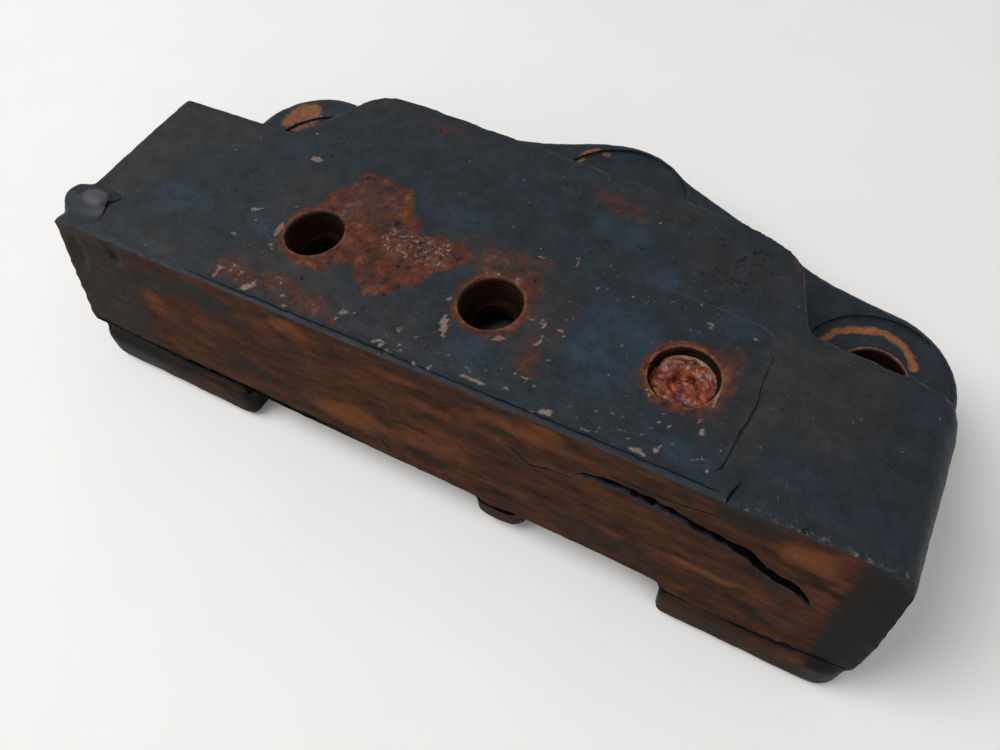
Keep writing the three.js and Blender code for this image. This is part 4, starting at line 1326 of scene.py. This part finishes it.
class CALIPER_OT_pad(bpy.types.Operator):
    """Finish the brake pad, the guide pins, their clips and the piston seals"""

    bl_idname = "caliper.pad"
    bl_label = "Pad, pins and seals"

    def execute(self, context):
        settings = context.scene.caliper_parts
        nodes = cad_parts
        # Rolled steel plate under thin black paint, rust breaking through
        plate = (linear("#1A1918"), linear("#262423"), linear("#3C2A20"))
        painted = plain_finish("painted_rolled_plate", plate, 2.2, (0.45, 0.7), 0.06)
        # Sintered friction block: ground face, dark grains with brighter metal flecks
        block_tones = (linear("#211E1C"), tuple(settings.friction), linear("#5C5148"))
        sintered = plain_finish("sintered_friction_block", block_tones, 0.9, (0.7, 0.92), 0.12)
        # Moulded nitrile: black with a soft sheen
        tones = (tuple(settings.rubber), linear("#1F1F22"))
        nitrile = plain_finish("moulded_nitrile", tones, 1.0, (0.45, 0.6), 0.02)
        steel = steel_finish(settings)
        for node, material in (
            ("pad_backing_plate", painted), ("pad_lining", sintered),
            ("pin_clip_left", steel), ("pin_clip_right", steel),
            ("piston_seal_left", nitrile), ("piston_seal_centre", nitrile),
            ("piston_seal_right", nitrile),
        ):
            nodes[node].data.materials.clear()
            nodes[node].data.materials.append(material)
        r = 5.0
        pin = (
            (0, 43), (r - 1, 43), (r, 42), (r, 9), (r - 1, 9), (r - 1, 7.6), (r, 7.6), (r, 6.6),
            (r - 0.6, 6), (0, 6),
        )
        for side, (x, y) in zip(("left", "right"), PINS):
            made = piece(f"guide_pin_turned_{side}", turned(eased(pin, 0.2), 64, (x, y, 0)))
            hand_over(made, f"guide_pin_{side}", "housing", steel)
        return {"FINISHED"}


class CALIPER_OT_stage(bpy.types.Operator):
    """Set the pale floor, the soft lights and the camera"""

    bl_idname = "caliper.stage"
    bl_label = "Stage"

    def execute(self, context):
        settings = context.scene.caliper_stage
        scene = context.scene
        # The floor is a square sheet, flat: z = 0 for every pair of sides
        side = np.linspace(-4, 4, 5)
        u, v = np.meshgrid(side, side)
        index = np.arange(25).reshape(5, 5)
        quads = np.stack([index[:-1, :-1], index[:-1, 1:], index[1:, 1:], index[1:, :-1]], -1)
        mesh = bpy.data.meshes.new("floor")
        sheet = np.stack([u, v, 0 * u - 0.0002], -1).reshape(-1, 3)
        mesh.from_pydata(sheet.tolist(), [], quads.reshape(-1, 4).tolist())
        floor = bpy.data.objects.new("floor", mesh)
        scene.collection.objects.link(floor)
        # Matt painted board: even, with a breath of unevenness
        tones = (tuple(settings.floor), linear("#F7F6F4"))
        mesh.materials.append(plain_finish("matt_painted_board", tones, 60, (0.9, 0.95), 0.0))

        for name, place, size, power in (
            ("key", (-0.9, -0.5, 1.7), 1.3, settings.key),
            ("fill", (1.3, -1.2, 1.3), 1.6, settings.fill),
        ):
            light = bpy.data.lights.new(name, "AREA")
            light.shape = "DISK"
            light.size = size
            light.energy = power
            lamp = bpy.data.objects.new(name, light)
            lamp.location = place
            aim = Vector((0, 0, 0.03)) - Vector(place)
            lamp.rotation_euler = aim.to_track_quat("-Z", "Y").to_euler()
            scene.collection.objects.link(lamp)

        world = bpy.data.worlds.new("even_light")
        world.use_nodes = True
        background = world.node_tree.nodes["Background"]
        background.inputs["Color"].default_value = (1, 1, 1, 1)
        background.inputs["Strength"].default_value = settings.sky
        scene.world = world
        scene.view_settings.view_transform = "Standard"

        lens = bpy.data.cameras.new("camera")
        lens.sensor_width = 36
        lens.lens = settings.lens
        lens.clip_start = 0.01
        camera = bpy.data.objects.new("camera", lens)
        right = Vector((0.87498, 0.47694, -0.08334))
        up = Vector((-0.35530, 0.74944, 0.55867))
        back = right.cross(up)
        turn = Matrix((right, up, back)).transposed()
        camera.matrix_world = Matrix.Translation(placed(CAMERA_AT)) @ turn.to_4x4()
        scene.collection.objects.link(camera)
        scene.camera = camera
        return {"FINISHED"}


OPERATORS = (
    CALIPER_OT_housing, CALIPER_OT_pistons, CALIPER_OT_boots, CALIPER_OT_plugs, CALIPER_OT_pad,
    CALIPER_OT_stage,
)
GROUPS = (
    ("caliper_casting", CastingSettings), ("caliper_parts", PartSettings),
    ("caliper_stage", StageSettings),
)


class CALIPER_PT_panel(bpy.types.Panel):
    """Lists the caliper's pieces and their settings"""

    bl_label = "Brake caliper half"
    bl_idname = "CALIPER_PT_panel"
    bl_space_type = "VIEW_3D"
    bl_region_type = "UI"
    bl_category = "Caliper"

    def draw(self, context):
        for operator in OPERATORS:
            self.layout.operator(operator.bl_idname)
        for name, group in GROUPS:
            box = self.layout.box()
            for setting in group.__annotations__:
                box.prop(getattr(context.scene, name), setting)


def register():
    for _, group in GROUPS:
        bpy.utils.register_class(group)
    for name, group in GROUPS:
        setattr(bpy.types.Scene, name, PointerProperty(type=group))
    for operator in OPERATORS + (CALIPER_PT_panel,):
        bpy.utils.register_class(operator)


def unregister():
    for operator in (CALIPER_PT_panel,) + OPERATORS[::-1]:
        bpy.utils.unregister_class(operator)
    for name, group in GROUPS:
        delattr(bpy.types.Scene, name)
        bpy.utils.unregister_class(group)


def main():
    register()
    bpy.ops.caliper.stage()
    bpy.ops.caliper.housing()
    bpy.ops.caliper.pistons()
    bpy.ops.caliper.boots()
    bpy.ops.caliper.plugs()
    bpy.ops.caliper.pad()


if __name__ == "__main__":
    main()
